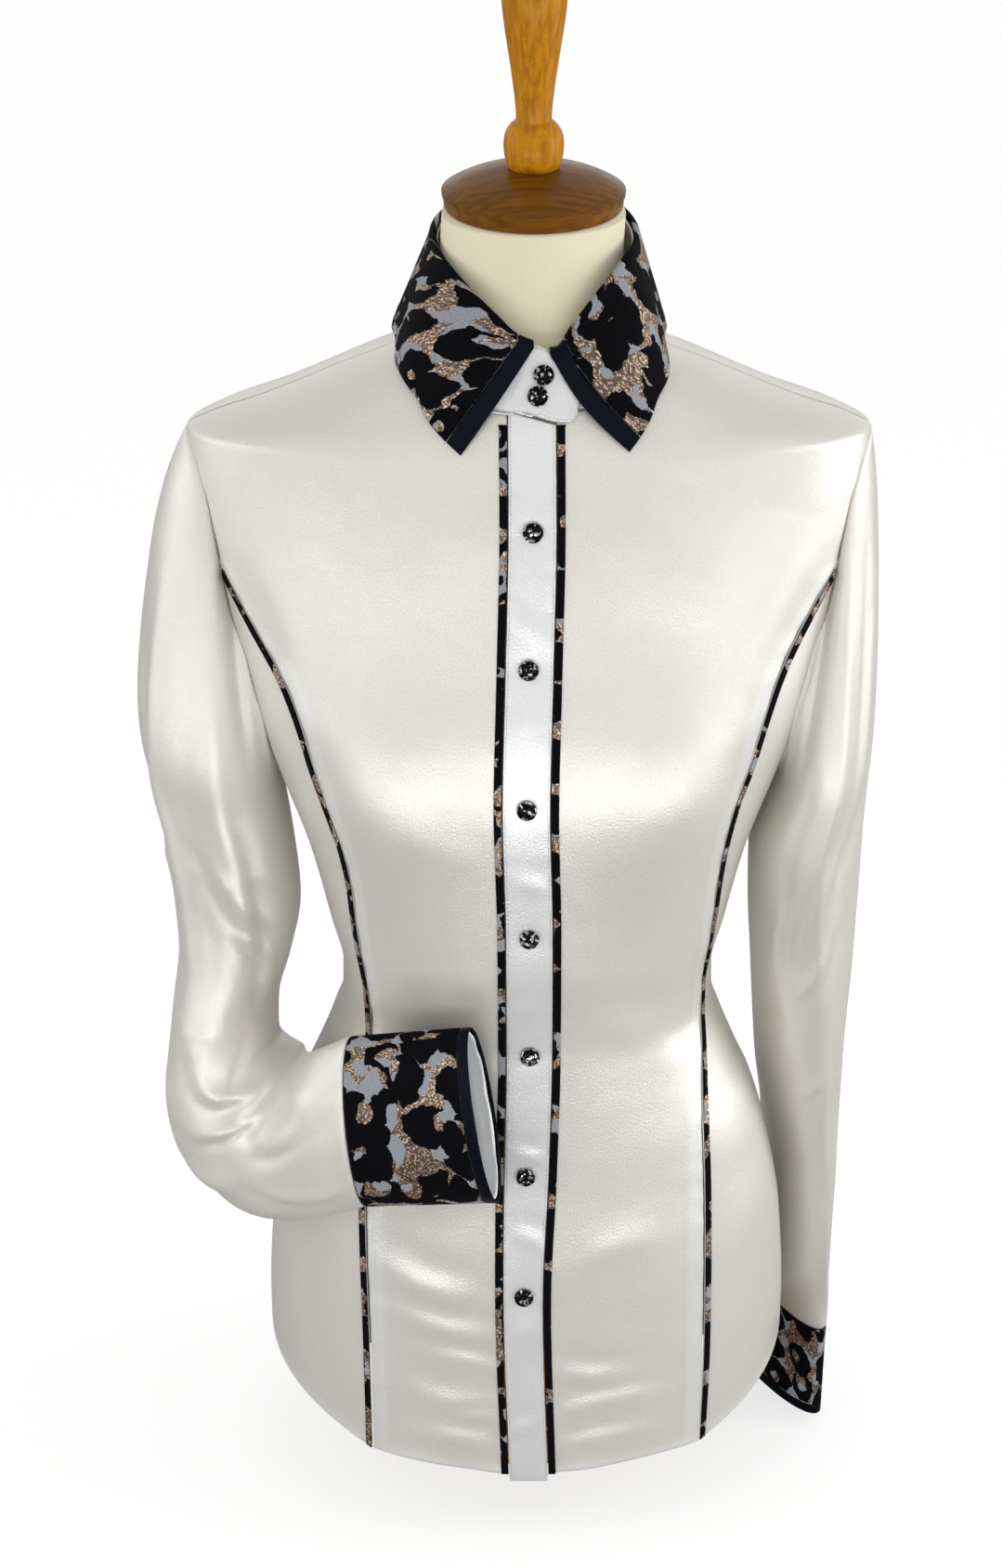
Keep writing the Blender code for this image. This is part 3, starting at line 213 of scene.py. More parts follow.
# Collar leaf's outer edge, front point to centre back: turn, height, lift off the shirt
LEAF_EDGE_BACK = (
    (88.0, 0.6890, 0.0075),
    (110.0, 0.6940, 0.0090),
    (135.0, 0.6975, 0.0100),
    (180.0, 0.6995, 0.0105),
)
LEAF_EDGE_RIGHT = (
    (25.7, 0.6443, 0.0040),
    (38.8, 0.6597, 0.0040),
    (45.2, 0.6688, 0.0040),
    (58.0, 0.6778, 0.0042),
    (72.0, 0.6842, 0.0048),
    *LEAF_EDGE_BACK,
)
LEAF_EDGE_LEFT = (
    (35.4, 0.6455, 0.0040),
    (44.0, 0.6588, 0.0040),
    (50.4, 0.6684, 0.0040),
    (58.6, 0.6752, 0.0042),
    (72.8, 0.6835, 0.0050),
    *LEAF_EDGE_BACK,
)
# The leaf's crown between fold and edge: degrees from centre front, height of the crown
LEAF_ROLL = ((0, 0.0037), (55, 0.0034), (95, 0.0002), (140, 0.0010), (180, 0.0020))
# Snaps on the placket: height, and shift off the placket's middle
SNAPS = (
    (0.6054, 0.0003),
    (0.5319, -0.0005),
    (0.4562, 0.0002),
    (0.3795, 0.0000),
    (0.3047, 0.0003),
    (0.2296, -0.0004),
    (0.1542, 0.0004),
)
STAND_SNAPS = ((5.0, 0.620), (2.8, 0.310))
CUFF_SNAPS = (0.24, 0.66)
# Neck of the form above the shoulders: height, half width, front depth, back depth
NECK = (
    (0.6900, 0.0560, 0.0530, 0.0600),
    (0.7000, 0.0515, 0.0490, 0.0590),
    (0.7120, 0.0495, 0.0465, 0.0580),
    (0.7350, 0.0487, 0.0420, 0.0580),
)


class Side(Enum):
    """Which half of the shirt, by the wearer."""

    RIGHT = -1
    LEFT = 1

    @property
    def label(self) -> str:
        """The side's word in piece names."""
        return self.name.lower()


# ---------------------------------------------------------------- curves and the torso
class Curve:
    """A smooth line through a table's rows that never overshoots them."""

    def __init__(self, table: Table, column: int) -> None:
        """Works out the slope at each row.

        Args:
            table: Rows whose first column is the place.
            column: The column to follow.
        """
        self.places = np.array([row[0] for row in table], float)
        self.values = np.array([row[column] for row in table], float)
        self.spans = np.diff(self.places)
        slopes = np.diff(self.values) / self.spans
        self.tangents = np.zeros(len(self.places))
        self.tangents[0], self.tangents[-1] = slopes[0], slopes[-1]
        for k in range(1, len(self.places) - 1):
            if slopes[k - 1] * slopes[k] > 0:
                near = 2 * self.spans[k] + self.spans[k - 1]
                far = self.spans[k] + 2 * self.spans[k - 1]
                self.tangents[k] = (near + far) / (near / slopes[k - 1] + far / slopes[k])

    def __call__(self, at: Any) -> Array:
        """Reads the line.

        Args:
            at: One place or an array of them.

        Returns:
            The values there.
        """
        at = np.clip(np.asarray(at, float), self.places[0], self.places[-1])
        k = np.clip(np.searchsorted(self.places, at) - 1, 0, len(self.spans) - 1)
        span = self.spans[k]
        t = (at - self.places[k]) / span
        return (
            (1 + 2 * t) * (1 - t) ** 2 * self.values[k]
            + t * (1 - t) ** 2 * span * self.tangents[k]
            + t * t * (3 - 2 * t) * self.values[k + 1]
            + t * t * (t - 1) * span * self.tangents[k + 1]
        )


def by_row(table: Table, column: int) -> Curve:
    """A curve through a table's column by the number of the row."""
    return Curve([(k, row[column]) for k, row in enumerate(table)], 1)


def smooth_rows(table: Table, count: int) -> Array:
    """As many rows as wanted, on smooth curves through a table's own."""
    at = np.linspace(0, len(table) - 1, count)
    return np.stack([by_row(table, column)(at) for column in range(len(table[0]))], -1)


def from_front(turn: Any) -> Array:
    """Degrees from centre front, on either side."""
    return np.abs((np.asarray(turn, float) + 180) % 360 - 180)


def unit(vectors: Array) -> Array:
    """Vectors of length 1."""
    return vectors / np.linalg.norm(vectors, axis=-1, keepdims=True)


def line_run(line: Array) -> Array:
    """Distance of each point of a line from its first one."""
    return np.concatenate([[0], np.cumsum(np.linalg.norm(np.diff(line, axis=0), axis=1))])


class Torso:
    """Outer face of the shirt's body."""

    def __init__(self) -> None:
        """Reads the torso's table into curves."""
        self.half, self.front, self.back, self.square = (Curve(TORSO, c) for c in range(1, 5))
        self.hem = Curve(HEM, 1)
        self.neck = Curve(NECK_SEAM, 1)

    def face(self, turn: Any, height: Any) -> Array:
        """Points of the outer face.

        Args:
            turn: Degrees from centre front.
            height: Heights above the floor.

        Returns:
            An array of points, one for each place.
        """
        turn, height = np.broadcast_arrays(np.asarray(turn, float), np.asarray(height, float))
        angle = np.radians(turn)
        across, along = np.abs(np.sin(angle)), np.cos(angle)
        depth = np.where(along > 0, self.front(height), self.back(height))
        square = self.square(height)
        reach = ((across / self.half(height)) ** square + (np.abs(along) / depth) ** square) ** (-1 / square)
        off_bust = (from_front(turn) ** 2 - BUST_TURN**2) / (2 * BUST_TURN * BUST_SPREAD)
        reach = reach + BUST_OUT * np.exp(-(off_bust**2) - ((height - BUST_HEIGHT) / BUST_RISE) ** 2)
        return np.stack([reach * np.sin(angle), -reach * np.cos(angle), height], -1)

    def out(self, turn: Any, height: Any) -> Array:
        """Unit vectors that leave the face at its places."""
        step, rise = 0.2, 0.0006
        turn, height = np.asarray(turn, float), np.asarray(height, float)
        round_it = self.face(turn + step, height) - self.face(turn - step, height)
        up_it = self.face(turn, height + rise) - self.face(turn, height - rise)
        return unit(np.cross(round_it, up_it))

    def point(self, turn: Any, height: Any, out: Any = 0.0) -> Array:
        """Points of the face, moved out by a distance."""
        return self.face(turn, height) + np.asarray(out, float)[..., None] * self.out(turn, height)

    def turn_at(self, x: Any, height: Any) -> Array:
        """Turns of the front's points that lie at x."""
        x, height = np.broadcast_arrays(np.asarray(x, float), np.asarray(height, float))
        low, high = np.zeros(x.shape), np.full(x.shape, 89.5)
        for _ in range(30):
            middle = (low + high) / 2
            short = self.face(middle, height)[..., 0] < np.abs(x)
            low, high = np.where(short, middle, low), np.where(short, high, middle)
        return np.copysign(low, x)

    def shifted(self, places: Array, distance: float) -> Array:
        """Places moved along the face, towards +X in front, by a distance."""
        face = self.face(places[:, 0], places[:, 1])
        turned = places[:, 0] + np.degrees(distance / np.hypot(face[:, 0], face[:, 1]))
        return np.stack([turned, places[:, 1]], -1)


TORSO_FACE = Torso()


# ---------------------------------------------------------------- seam lines
@dataclass(frozen=True)
class Draft:
    """The shirt's seam lines on the torso, in steps that neighbouring pieces share.

    A step of the draft is divided by `fine` where a piece is drawn.
    """

    fine: int = 12
    lower_steps: int = 17
    upper_steps: int = 7
    front_edge_steps: int = 2
    side_seam_steps: int = 13
    under_steps: int = 4
    back_arm_steps: int = 9
    back_neck_steps: int = 5
    measured: int = 60

    def spread(self, line: Array, steps: int) -> Array:
        """Places evenly along a line.

        Args:
            line: Places along the line.
            steps: How many steps to make.

        Returns:
            One place more than there are steps.
        """
        points = TORSO_FACE.face(line[:, 0], line[:, 1])
        run = line_run(points)
        wanted = np.linspace(0, run[-1], steps + 1)
        return np.stack([np.interp(wanted, run, line[:, k]) for k in (0, 1)], -1)

    def armhole(self, side: int, back: bool, first: float, last: float) -> Array:
        """Armhole between two rows of its table, from below upwards."""
        at = np.linspace(first, last, self.measured)
        return np.stack([side * by_row(ARMHOLE, 2 if back else 1)(at), by_row(ARMHOLE, 0)(at)], -1)

    def armhole_places(self, side: int, back: bool, fine: int) -> Array:
        """Armhole from the underarm to the shoulder point, as the panels and the sleeve share it."""
        last = len(ARMHOLE) - 1
        if back:
            return self.spread(self.armhole(side, True, 0, last), self.back_arm_steps * fine)
        lower = self.spread(self.armhole(side, False, 0, JUNCTION_ROW), self.under_steps * fine)
        upper = self.spread(self.armhole(side, False, JUNCTION_ROW, last), self.upper_steps * fine)
        return np.concatenate([lower, upper[1:]])

    def princess(self, side: int) -> Array:
        """Princess seam from the hem to the armhole."""
        x_at = Curve(PRINCESS, 1 if side < 0 else 2)
        start_turn = TORSO_FACE.turn_at(side * x_at(PRINCESS[0][0]), PRINCESS[0][0])
        heights = np.linspace(TORSO_FACE.hem(abs(start_turn)), PRINCESS[-1][0], self.measured)
        line = np.stack([TORSO_FACE.turn_at(side * x_at(heights), heights), heights], -1)
        end = self.armhole(side, False, JUNCTION_ROW, JUNCTION_ROW + 1)[:1]
        return np.concatenate([line, end])

    def side_seam(self, side: int, fine: int) -> Array:
        """Side seam from the hem to the underarm."""
        heights = np.linspace(float(TORSO_FACE.hem(90)), UNDERARM_HEIGHT, self.measured)
        line = np.stack([np.full(heights.shape, side * 90.0), heights], -1)
        return self.spread(line, self.side_seam_steps * fine)

    def placket_edge(self, side: int, height: Any, beyond: float) -> Array:
        """x of the placket band's edge."""
        return Curve(PLACKET, 1)(height) + side * (Curve(PLACKET, 2)(height) + beyond)

    @property
    def shoulder_gap(self) -> float:
        """Degrees that hold the front and the back apart along the shoulder."""
        return math.degrees(SEAM / float(TORSO_FACE.half(SHOULDER_NECK_HEIGHT)))

    def front_edge(self, side: int, fine: int) -> Array:
        """Front edge of a centre panel, hem to neck, and then along the neck seam to the shoulder."""
        beyond = FRONT_EDGE_UNDER
        top_turn = float(TORSO_FACE.turn_at(self.placket_edge(side, PLACKET_TOP, beyond), PLACKET_TOP))
        top, bottom = float(TORSO_FACE.neck(abs(top_turn))), float(TORSO_FACE.hem(0))
        share = self.lower_steps / (self.lower_steps + self.front_edge_steps)
        split = bottom + (top - bottom) * share
        heights = np.concatenate([
            np.linspace(bottom, split, self.lower_steps * fine + 1),
            np.linspace(split, top, self.front_edge_steps * fine + 1)[1:],
        ])
        edge = np.stack([TORSO_FACE.turn_at(self.placket_edge(side, heights, beyond), heights), heights], -1)
        steps = (self.upper_steps - self.front_edge_steps) * fine
        turns = np.linspace(top_turn, side * (90 - self.shoulder_gap), steps + 1)[1:]
        return np.concatenate([edge, np.stack([turns, TORSO_FACE.neck(np.abs(turns))], -1)])


DRAFT = Draft()


# ---------------------------------------------------------------- creases
@dataclass(frozen=True)
class Crease:
    """A soft ridge, or with a depth below 0 a trough, along a bowed line on a piece of cloth.

    Places are (across, along) in metres of the piece's own sizes. The lip is the share of the depth that
    rises the other way beside the crease, on the side that its sign gives.
    """

    start: Place
    end: Place
    half_width: float
    depth: float
    bow: float = 0.0
    lip: float = 0.0

    def lift(self, across: Array, along: Array) -> Array:
        """How far the crease lifts the cloth.

        Args:
            across: First sizes of the points.
            along: Second sizes of the points.

        Returns:
            Distances outwards.
        """
        run = np.array(self.end) - np.array(self.start)
        length = float(np.hypot(*run))
        ahead = run / length
        a, b = across - self.start[0], along - self.start[1]
        t = (a * ahead[0] + b * ahead[1]) / length
        inside = np.clip(t, 0, 1)
        off = b * ahead[0] - a * ahead[1] - self.bow * 4 * inside * (1 - inside)
        beyond = np.maximum(np.maximum(-t, t - 1), 0) * length
        reach = 0.6 * self.half_width + 0.25 * length
        taper = (0.25 + 0.75 * np.sin(np.pi * inside)) * np.exp(-((beyond / reach) ** 2))
        shape = np.exp(-((off / self.half_width) ** 2))
        if self.lip:
            beside = off - math.copysign(1.8 * self.half_width, self.lip)
            shape = shape - abs(self.lip) * np.exp(-((beside / self.half_width) ** 2))
        return self.depth * taper * shape


def creased(creases: Iterable[Crease], across: Array, along: Array) -> Array:
    """The lift of several creases together."""
    total = np.zeros(np.shape(across))
    for crease in creases:
        total = total + crease.lift(across, along)
    return total


@dataclass(frozen=True)
class Pucker:
    """Fine ripples along a seam, which die out away from it."""

    depth: float
    wave: float
    swell: float
    drift: float
    reach: float

    def lift(self, along: Array, away: Array) -> Array:
        """How far the ripples lift the cloth, by the way along the seam and the distance from it."""
        wave = np.sin(along / self.wave + self.swell * np.sin(along / self.drift))
        return self.depth * wave * np.exp(-away / self.reach)


def rolled(distance: Array, roll: float) -> Array:
    """How far a folded edge drops at a distance from its end, on a round of that radius."""
    inside = np.clip(1 - distance / roll, 0, 1)
    return roll * (1 - np.sqrt(1 - inside**2))


# ---------------------------------------------------------------- making meshes
def torso_frame(points: Array) -> Array:
    """Points of the torso frame in the part's frame."""
    return points + np.array([0.0, TORSO_Y, 0.0])


def run_lengths(points: Array, axis: int) -> Array:
    """Distance of each grid point from the first one, along the grid's rows (axis 1) or columns (0)."""
    steps = np.linalg.norm(np.diff(points, axis=axis), axis=-1)
    shape = list(points.shape[:2])
    shape[axis] = 1
    return np.concatenate([np.zeros(shape), np.cumsum(steps, axis=axis)], axis=axis)


def edge_rounding(points: Array, roll: float, tube: bool = False) -> Array:
    """Drop of a sheet's folded edges.

    Args:
        points: The sheet's grid.
        roll: Radius of the fold.
        tube: Whether the rows are closed, so that only the two ends are edges.

    Returns:
        Distances inwards, one for each grid point.
    """
    up = run_lengths(points, 0)
    drop = np.maximum(rolled(up, roll), rolled(up[-1:] - up, roll))
    if not tube:
        along = run_lengths(points, 1)
        drop = np.maximum(drop, rolled(along, roll))
        drop = np.maximum(drop, rolled(along[:, -1:] - along, roll))
    return drop


def with_fine_ends(line: Array, shares: Sequence[float] = (0.07, 0.2, 0.45)) -> Array:
    """A line of places with more of them in its first and last step."""
    first = [line[0] + (line[1] - line[0]) * share for share in shares]
    last = [line[-1] + (line[-2] - line[-1]) * share for share in reversed(shares)]
    return np.concatenate([line[:1], first, line[1:-1], last, line[-1:]])


def edge_shares(lengths: Array, columns: int, near: Sequence[float] = (0.0002, 0.0006, 0.0014)) -> Array:
    """Shares of each row's length at its columns, with more columns close to both edges.

    Args:
        lengths: The rows' lengths.
        columns: Even columns between the edges.
        near: Distances of the extra columns from an edge.

    Returns:
        One row of shares for each length.
    """
    even = np.linspace(0, 1, columns + 1)[1:-1]
    close = np.minimum(np.array(near)[None] / lengths[:, None], 0.8 * even[0] * np.array([0.2, 0.5, 1.0]))
    ends = np.zeros((len(lengths), 1))
    middle = np.broadcast_to(even, (len(lengths), len(even)))
    return np.concatenate([ends, close, middle, 1 - close[:, ::-1], ends + 1], axis=1)


def between(left: Array, right: Array, shares: Array) -> Array:
    """Grid of places between two lines of them."""
    return left[:, None] + (right - left)[:, None] * shares[..., None]


def widths(inner: Array, outer: Array) -> Array:
    """Distances between the places of two lines on the torso."""
    ends = TORSO_FACE.face(outer[:, 0], outer[:, 1]) - TORSO_FACE.face(inner[:, 0], inner[:, 1])
    return np.linalg.norm(ends, axis=1)


def rows_right(side: Side, grid: Array) -> Array:
    """A grid made from the middle outwards, with its rows to the right as seen from outside."""
    return grid if side is Side.LEFT else grid[:, ::-1]


def linked(name: str, data: Any) -> bpy.types.Object:
    """A new object of the scene that holds a mesh, a light or a camera."""
    made = bpy.data.objects.new(name, data)
    bpy.context.scene.collection.objects.link(made)
    return made


def grid_object(name: str, points: Array, uv: Array, closed: bool = False) -> bpy.types.Object:
    """An open sheet of quads through a grid of points.

    Args:
        name: The object's name.
        points: Rows that run up, their points to the right as seen from outside, in the torso frame.
        uv: The same grid flat, in metres. A closed one has one column more.
        closed: Whether each row's last point joins its first.

    Returns:
        The object, linked to the scene.
    """
    rows, wide = points.shape[:2]
    r, c = np.mgrid[0 : rows - 1, 0 : wide if closed else wide - 1]
    right = (c + 1) % wide
    corners = np.stack([r * wide + c, r * wide + right, (r + 1) * wide + right, (r + 1) * wide + c], -1)
    mesh = bpy.data.meshes.new(name)
    mesh.from_pydata(torso_frame(points).reshape(-1, 3).tolist(), [], corners.reshape(-1, 4).tolist())
    flat = np.stack([uv[r, c], uv[r, c + 1], uv[r + 1, c + 1], uv[r + 1, c]], 2)
    layer = mesh.uv_layers.new(name="cloth")
    layer.data.foreach_set("uv", flat.astype(np.float32).ravel())
    mesh.shade_smooth()
    return linked(name, mesh)


def mark(made: bpy.types.Object, name: str, values: Array) -> None:
    """Gives a sheet's points a value that its finish can read."""
    layer = made.data.attributes.new(name, "FLOAT", "POINT")
    layer.data.foreach_set("value", np.asarray(values, np.float32).ravel())


def thicken(made: bpy.types.Object, wall: float) -> None:
    """Gives an open sheet its wall, behind its outer face."""
    thick = made.modifiers.new("wall", "SOLIDIFY")
    thick.thickness = wall
    thick.offset = -1


def flat_uv(points: Array, start: Place = (0.0, 0.0), closed: bool = False) -> Array:
    """The grid's sizes laid flat: along each row, and up the middle column.

    Args:
        points: The sheet's grid.
        start: Where its first corner lies on the cloth.
        closed: Whether the rows are closed.

    Returns:
        Places on the cloth in metres, with one column more for a closed grid.
    """
    if closed:
        points = np.concatenate([points, points[:, :1]], axis=1)
        turns = np.linspace(0, 1, points.shape[1])
        girth = run_lengths(points, 1)[:, -1:].max()
        along = np.broadcast_to(turns * girth, points.shape[:2])
    else:
        along = run_lengths(points, 1)
    up = run_lengths(points.mean(axis=1, keepdims=True), 0)
    return np.stack([start[0] + along, start[1] + np.broadcast_to(up, points.shape[:2])], -1)


def dress(made: bpy.types.Object, finish: "Finish", *nodes: str) -> bpy.types.Object:
    """Gives a piece its finish, its body and the nodes that it stands for."""
    made.data.materials.clear()
    made.data.materials.append(finish.material())
    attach(made, BODY)
    if nodes:
        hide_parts(*nodes)
    LOG.info("%s: %d faces, %s", made.name, len(made.data.polygons), finish.slot)
    return made


# ---------------------------------------------------------------- shader graphs
class Graph:
    """Adds and links the nodes of one tree."""

    def __init__(self, tree: bpy.types.NodeTree) -> None:
        """Keeps the tree."""
        self.tree = tree

    def add(self, kind: str, inputs: dict[Any, Any] | None = None, **settings: Any) -> bpy.types.Node:
        """Adds a node.

        Args:
            kind: The node's type, without the word ShaderNode.
            inputs: Values, or sockets to link, by the input's name or number.
            settings: The node's own properties.

        Returns:
            The node.
        """
        node = self.tree.nodes.new("ShaderNode" + kind)
        for key, value in settings.items():
            setattr(node, key, value)
        self.set(node, inputs or {})
        return node

    def plug(self, socket: bpy.types.NodeSocket, value: Any) -> None:
        """Links a socket to another one, or sets its value."""
        if isinstance(value, bpy.types.NodeSocket):
            self.tree.links.new(value, socket)
        else:
            socket.default_value = value

    def set(self, node: bpy.types.Node, inputs: dict[Any, Any]) -> None:
        """Links or sets a node's inputs by name or number."""
        for key, value in inputs.items():
            self.plug(node.inputs[key], value)

    def math(
        self, operation: str, a: Any, b: Any = 0.0, c: Any = 0.0, clamp: bool = False
    ) -> bpy.types.NodeSocket:
        """The result of a Math node."""
        return self.add("Math", {0: a, 1: b, 2: c}, operation=operation, use_clamp=clamp).outputs[0]

    def vector(self, operation: str, a: Any, b: Any) -> bpy.types.NodeSocket:
        """The vector that a Vector Math node gives."""
        return self.add("VectorMath", {0: a, 1: b}, operation=operation).outputs[0]

    def scaled(self, vector: Any, scale: Any) -> bpy.types.NodeSocket:
        """A vector times a vector."""
        return self.vector("MULTIPLY", vector, scale)

    def noise(self, place: Any, scale: Any, detail: float, output: Any = 0) -> bpy.types.NodeSocket:
        """An output of a Noise Texture node."""
        return self.add("TexNoise", {"Vector": place, "Scale": scale, "Detail": detail}).outputs[output]

    def bump(self, strength: float, distance: float, height: Any) -> bpy.types.NodeSocket:
        """Normals of a relief."""
        relief = {"Strength": strength, "Distance": distance, "Height": height}
        return self.add("Bump", relief).outputs[0]

    def mix(self, share: Any, a: Any, b: Any) -> bpy.types.NodeSocket:
        """A colour between two."""
        node = self.add("Mix", data_type="RGBA")
        for key, value in (("Factor_Float", share), ("A_Color", a), ("B_Color", b)):
            socket = next(s for s in node.inputs if s.identifier == key)
            if key != "Factor_Float" and not isinstance(value, bpy.types.NodeSocket):
                value = (*value[:3], 1.0)
            self.plug(socket, value)
        return next(s for s in node.outputs if s.identifier == "Result_Color")

    def remap(
        self, value: Any, low: float, high: float, to_low: float = 0.0, to_high: float = 1.0
    ) -> bpy.types.NodeSocket:
        """A value moved from one range to another, held inside it."""
        inputs = {0: value, 1: low, 2: high, 3: to_low, 4: to_high}
        return self.add("MapRange", inputs, interpolation_type="SMOOTHSTEP").outputs[0]


def shader_group(
    name: str, inputs: Sequence[Any], outputs: Sequence[tuple[str, str]], build: Callable
) -> bpy.types.NodeTree:
    """A group of nodes, made the first time that it is asked for.

    Args:
        name: The group's name.
        inputs: Each input's name, socket type and default value.
        outputs: Each output's name and socket type.
        build: Takes the graph and the group's inputs by name, and returns the outputs' sockets by name.

    Returns:
        The group.
    """
    made = bpy.data.node_groups.get(name)
    if made:
        return made
    made = bpy.data.node_groups.new(name, "ShaderNodeTree")
    for label, kind, value in inputs:
        socket = made.interface.new_socket(label, in_out="INPUT", socket_type=kind)
        if value is not None:
            socket.default_value = value
    for label, kind in outputs:
        made.interface.new_socket(label, in_out="OUTPUT", socket_type=kind)
    graph = Graph(made)
    source, sink = made.nodes.new("NodeGroupInput"), made.nodes.new("NodeGroupOutput")
    found = build(graph, {socket.name: socket for socket in source.outputs if socket.name})
    for label, socket in found.items():
        made.links.new(socket, sink.inputs[label])
    return made


def thread_grain(graph: Graph, given: dict[str, Any]) -> dict[str, Any]:
    """Fine unevenness of threads, longer one way than the other, and a slow drift of the tone."""
    size = graph.add("CombineXYZ", {0: given["Across"], 1: given["Along"], 2: 1.0}).outputs[0]
    fine = graph.noise(graph.scaled(given["Vector"], size), 1.0, 2.0)
    return {"Height": fine, "Tone": graph.noise(given["Vector"], given["Drift"], 2.0)}


def grain_group() -> bpy.types.NodeTree:
    """The group that every woven finish takes its thread grain from."""
    inputs = (
        ("Vector", "NodeSocketVector", None),
        ("Across", "NodeSocketFloat", 1400.0),
        ("Along", "NodeSocketFloat", 300.0),
        ("Drift", "NodeSocketFloat", 30.0),
    )
    outputs = (("Height", "NodeSocketFloat"), ("Tone", "NodeSocketFloat"))
    return shader_group("thread grain", inputs, outputs, thread_grain)


def wood_grain(graph: Graph, given: dict[str, Any]) -> dict[str, Any]:
    """Streaks with darker pores, along the way in which the place is shortened."""
    place = given["Vector"]
    look = {"Vector": place, "Scale": given["Scale"], "Detail": 4.0, "Distortion": 0.3}
    streak = graph.add("TexNoise", look).outputs[0]
    dark = graph.remap(graph.noise(place, given["Pores"], 3.0), 0.56, 0.70)
    return {"Streak": graph.remap(streak, 0.32, 0.68), "Pores": dark}


def wood_group() -> bpy.types.NodeTree:
    """The group that both varnished woods take their grain from."""
    inputs = (
        ("Vector", "NodeSocketVector", None),
        ("Scale", "NodeSocketFloat", 260.0),
        ("Pores", "NodeSocketFloat", 1400.0),
    )
    outputs = (("Streak", "NodeSocketFloat"), ("Pores", "NodeSocketFloat"))
    return shader_group("wood grain", inputs, outputs, wood_grain)


@dataclass(frozen=True)
class Finish:
    """A finish by its slot in the part's record; its colours are linear."""

    slot: str
    kind: str = "finish"

    def material(self) -> bpy.types.Material:
        """The finish's material, made once."""
        name = f"{self.slot.replace('_', ' ')} {self.kind}"
        made = bpy.data.materials.get(name)
        if made is None:
            made = bpy.data.materials.new(name)
            made.use_nodes = True
            graph = Graph(made.node_tree)
            self.build(graph, made.node_tree.nodes["Principled BSDF"])
        return made

    def build(self, graph: Graph, shader: bpy.types.Node) -> None:
        """Adds the finish's nodes to its shader."""
        raise NotImplementedError


@dataclass(frozen=True)
class Satin(Finish):
    """Lustrous satin whose floats run up the cloth, so that its gloss spreads across."""

    colour: Triple = (0.80, 0.78, 0.72)
    # Colour of doubled cloth; along the princess seams it is also a painted highlight
    doubled: Triple = (0.86, 0.86, 0.84)
    roughness: float = 0.36
    lustre: float = 0.42
    stretch: float = 0.66
    sheen: float = 0.05
    gloss: float = 0.5
    grain: float = 0.60
    wave: float = 2.6

    def build(self, graph: Graph, shader: bpy.types.Node) -> None:
        """Adds the satin's nodes to its shader."""
        place = graph.add("UVMap", uv_map="cloth").outputs[0]
        weave = {"Vector": place, "Across": 1300.0, "Along": 750.0, "Drift": 22.0}
        grain = graph.add("Group", weave, node_tree=grain_group())
        tone = grain.outputs["Tone"]
        layers = graph.add("Attribute", attribute_name="layers").outputs["Fac"]
        # Whiter where the cloth is doubled, which along the princess seams is also a painted highlight
        base = graph.mix(layers, self.colour, self.doubled)
        shade = graph.remap(grain.outputs["Height"], 0.35, 0.65, 0.0, 0.34)
        darker = tuple(channel * 0.80 for channel in self.colour)
        slow = graph.math("MULTIPLY", tone, self.wave)
        height = graph.math("MULTIPLY_ADD", grain.outputs["Height"], self.grain, slow)
        bump = graph.bump(1.0, 0.0003, height)
        graph.set(shader, {
            "Base Color": graph.mix(shade, base, darker),
            "Roughness": graph.remap(tone, 0.3, 0.7, self.roughness - 0.03, self.roughness + 0.04),
            "Metallic": self.lustre,
            "Specular IOR Level": self.gloss,
            "Anisotropic": self.stretch,
            "Tangent": graph.add("Tangent", direction_type="UV_MAP", uv_map="cloth").outputs[0],
            "Sheen Weight": self.sheen,
            "Sheen Roughness": 0.4,
            "Normal": bump,
        })


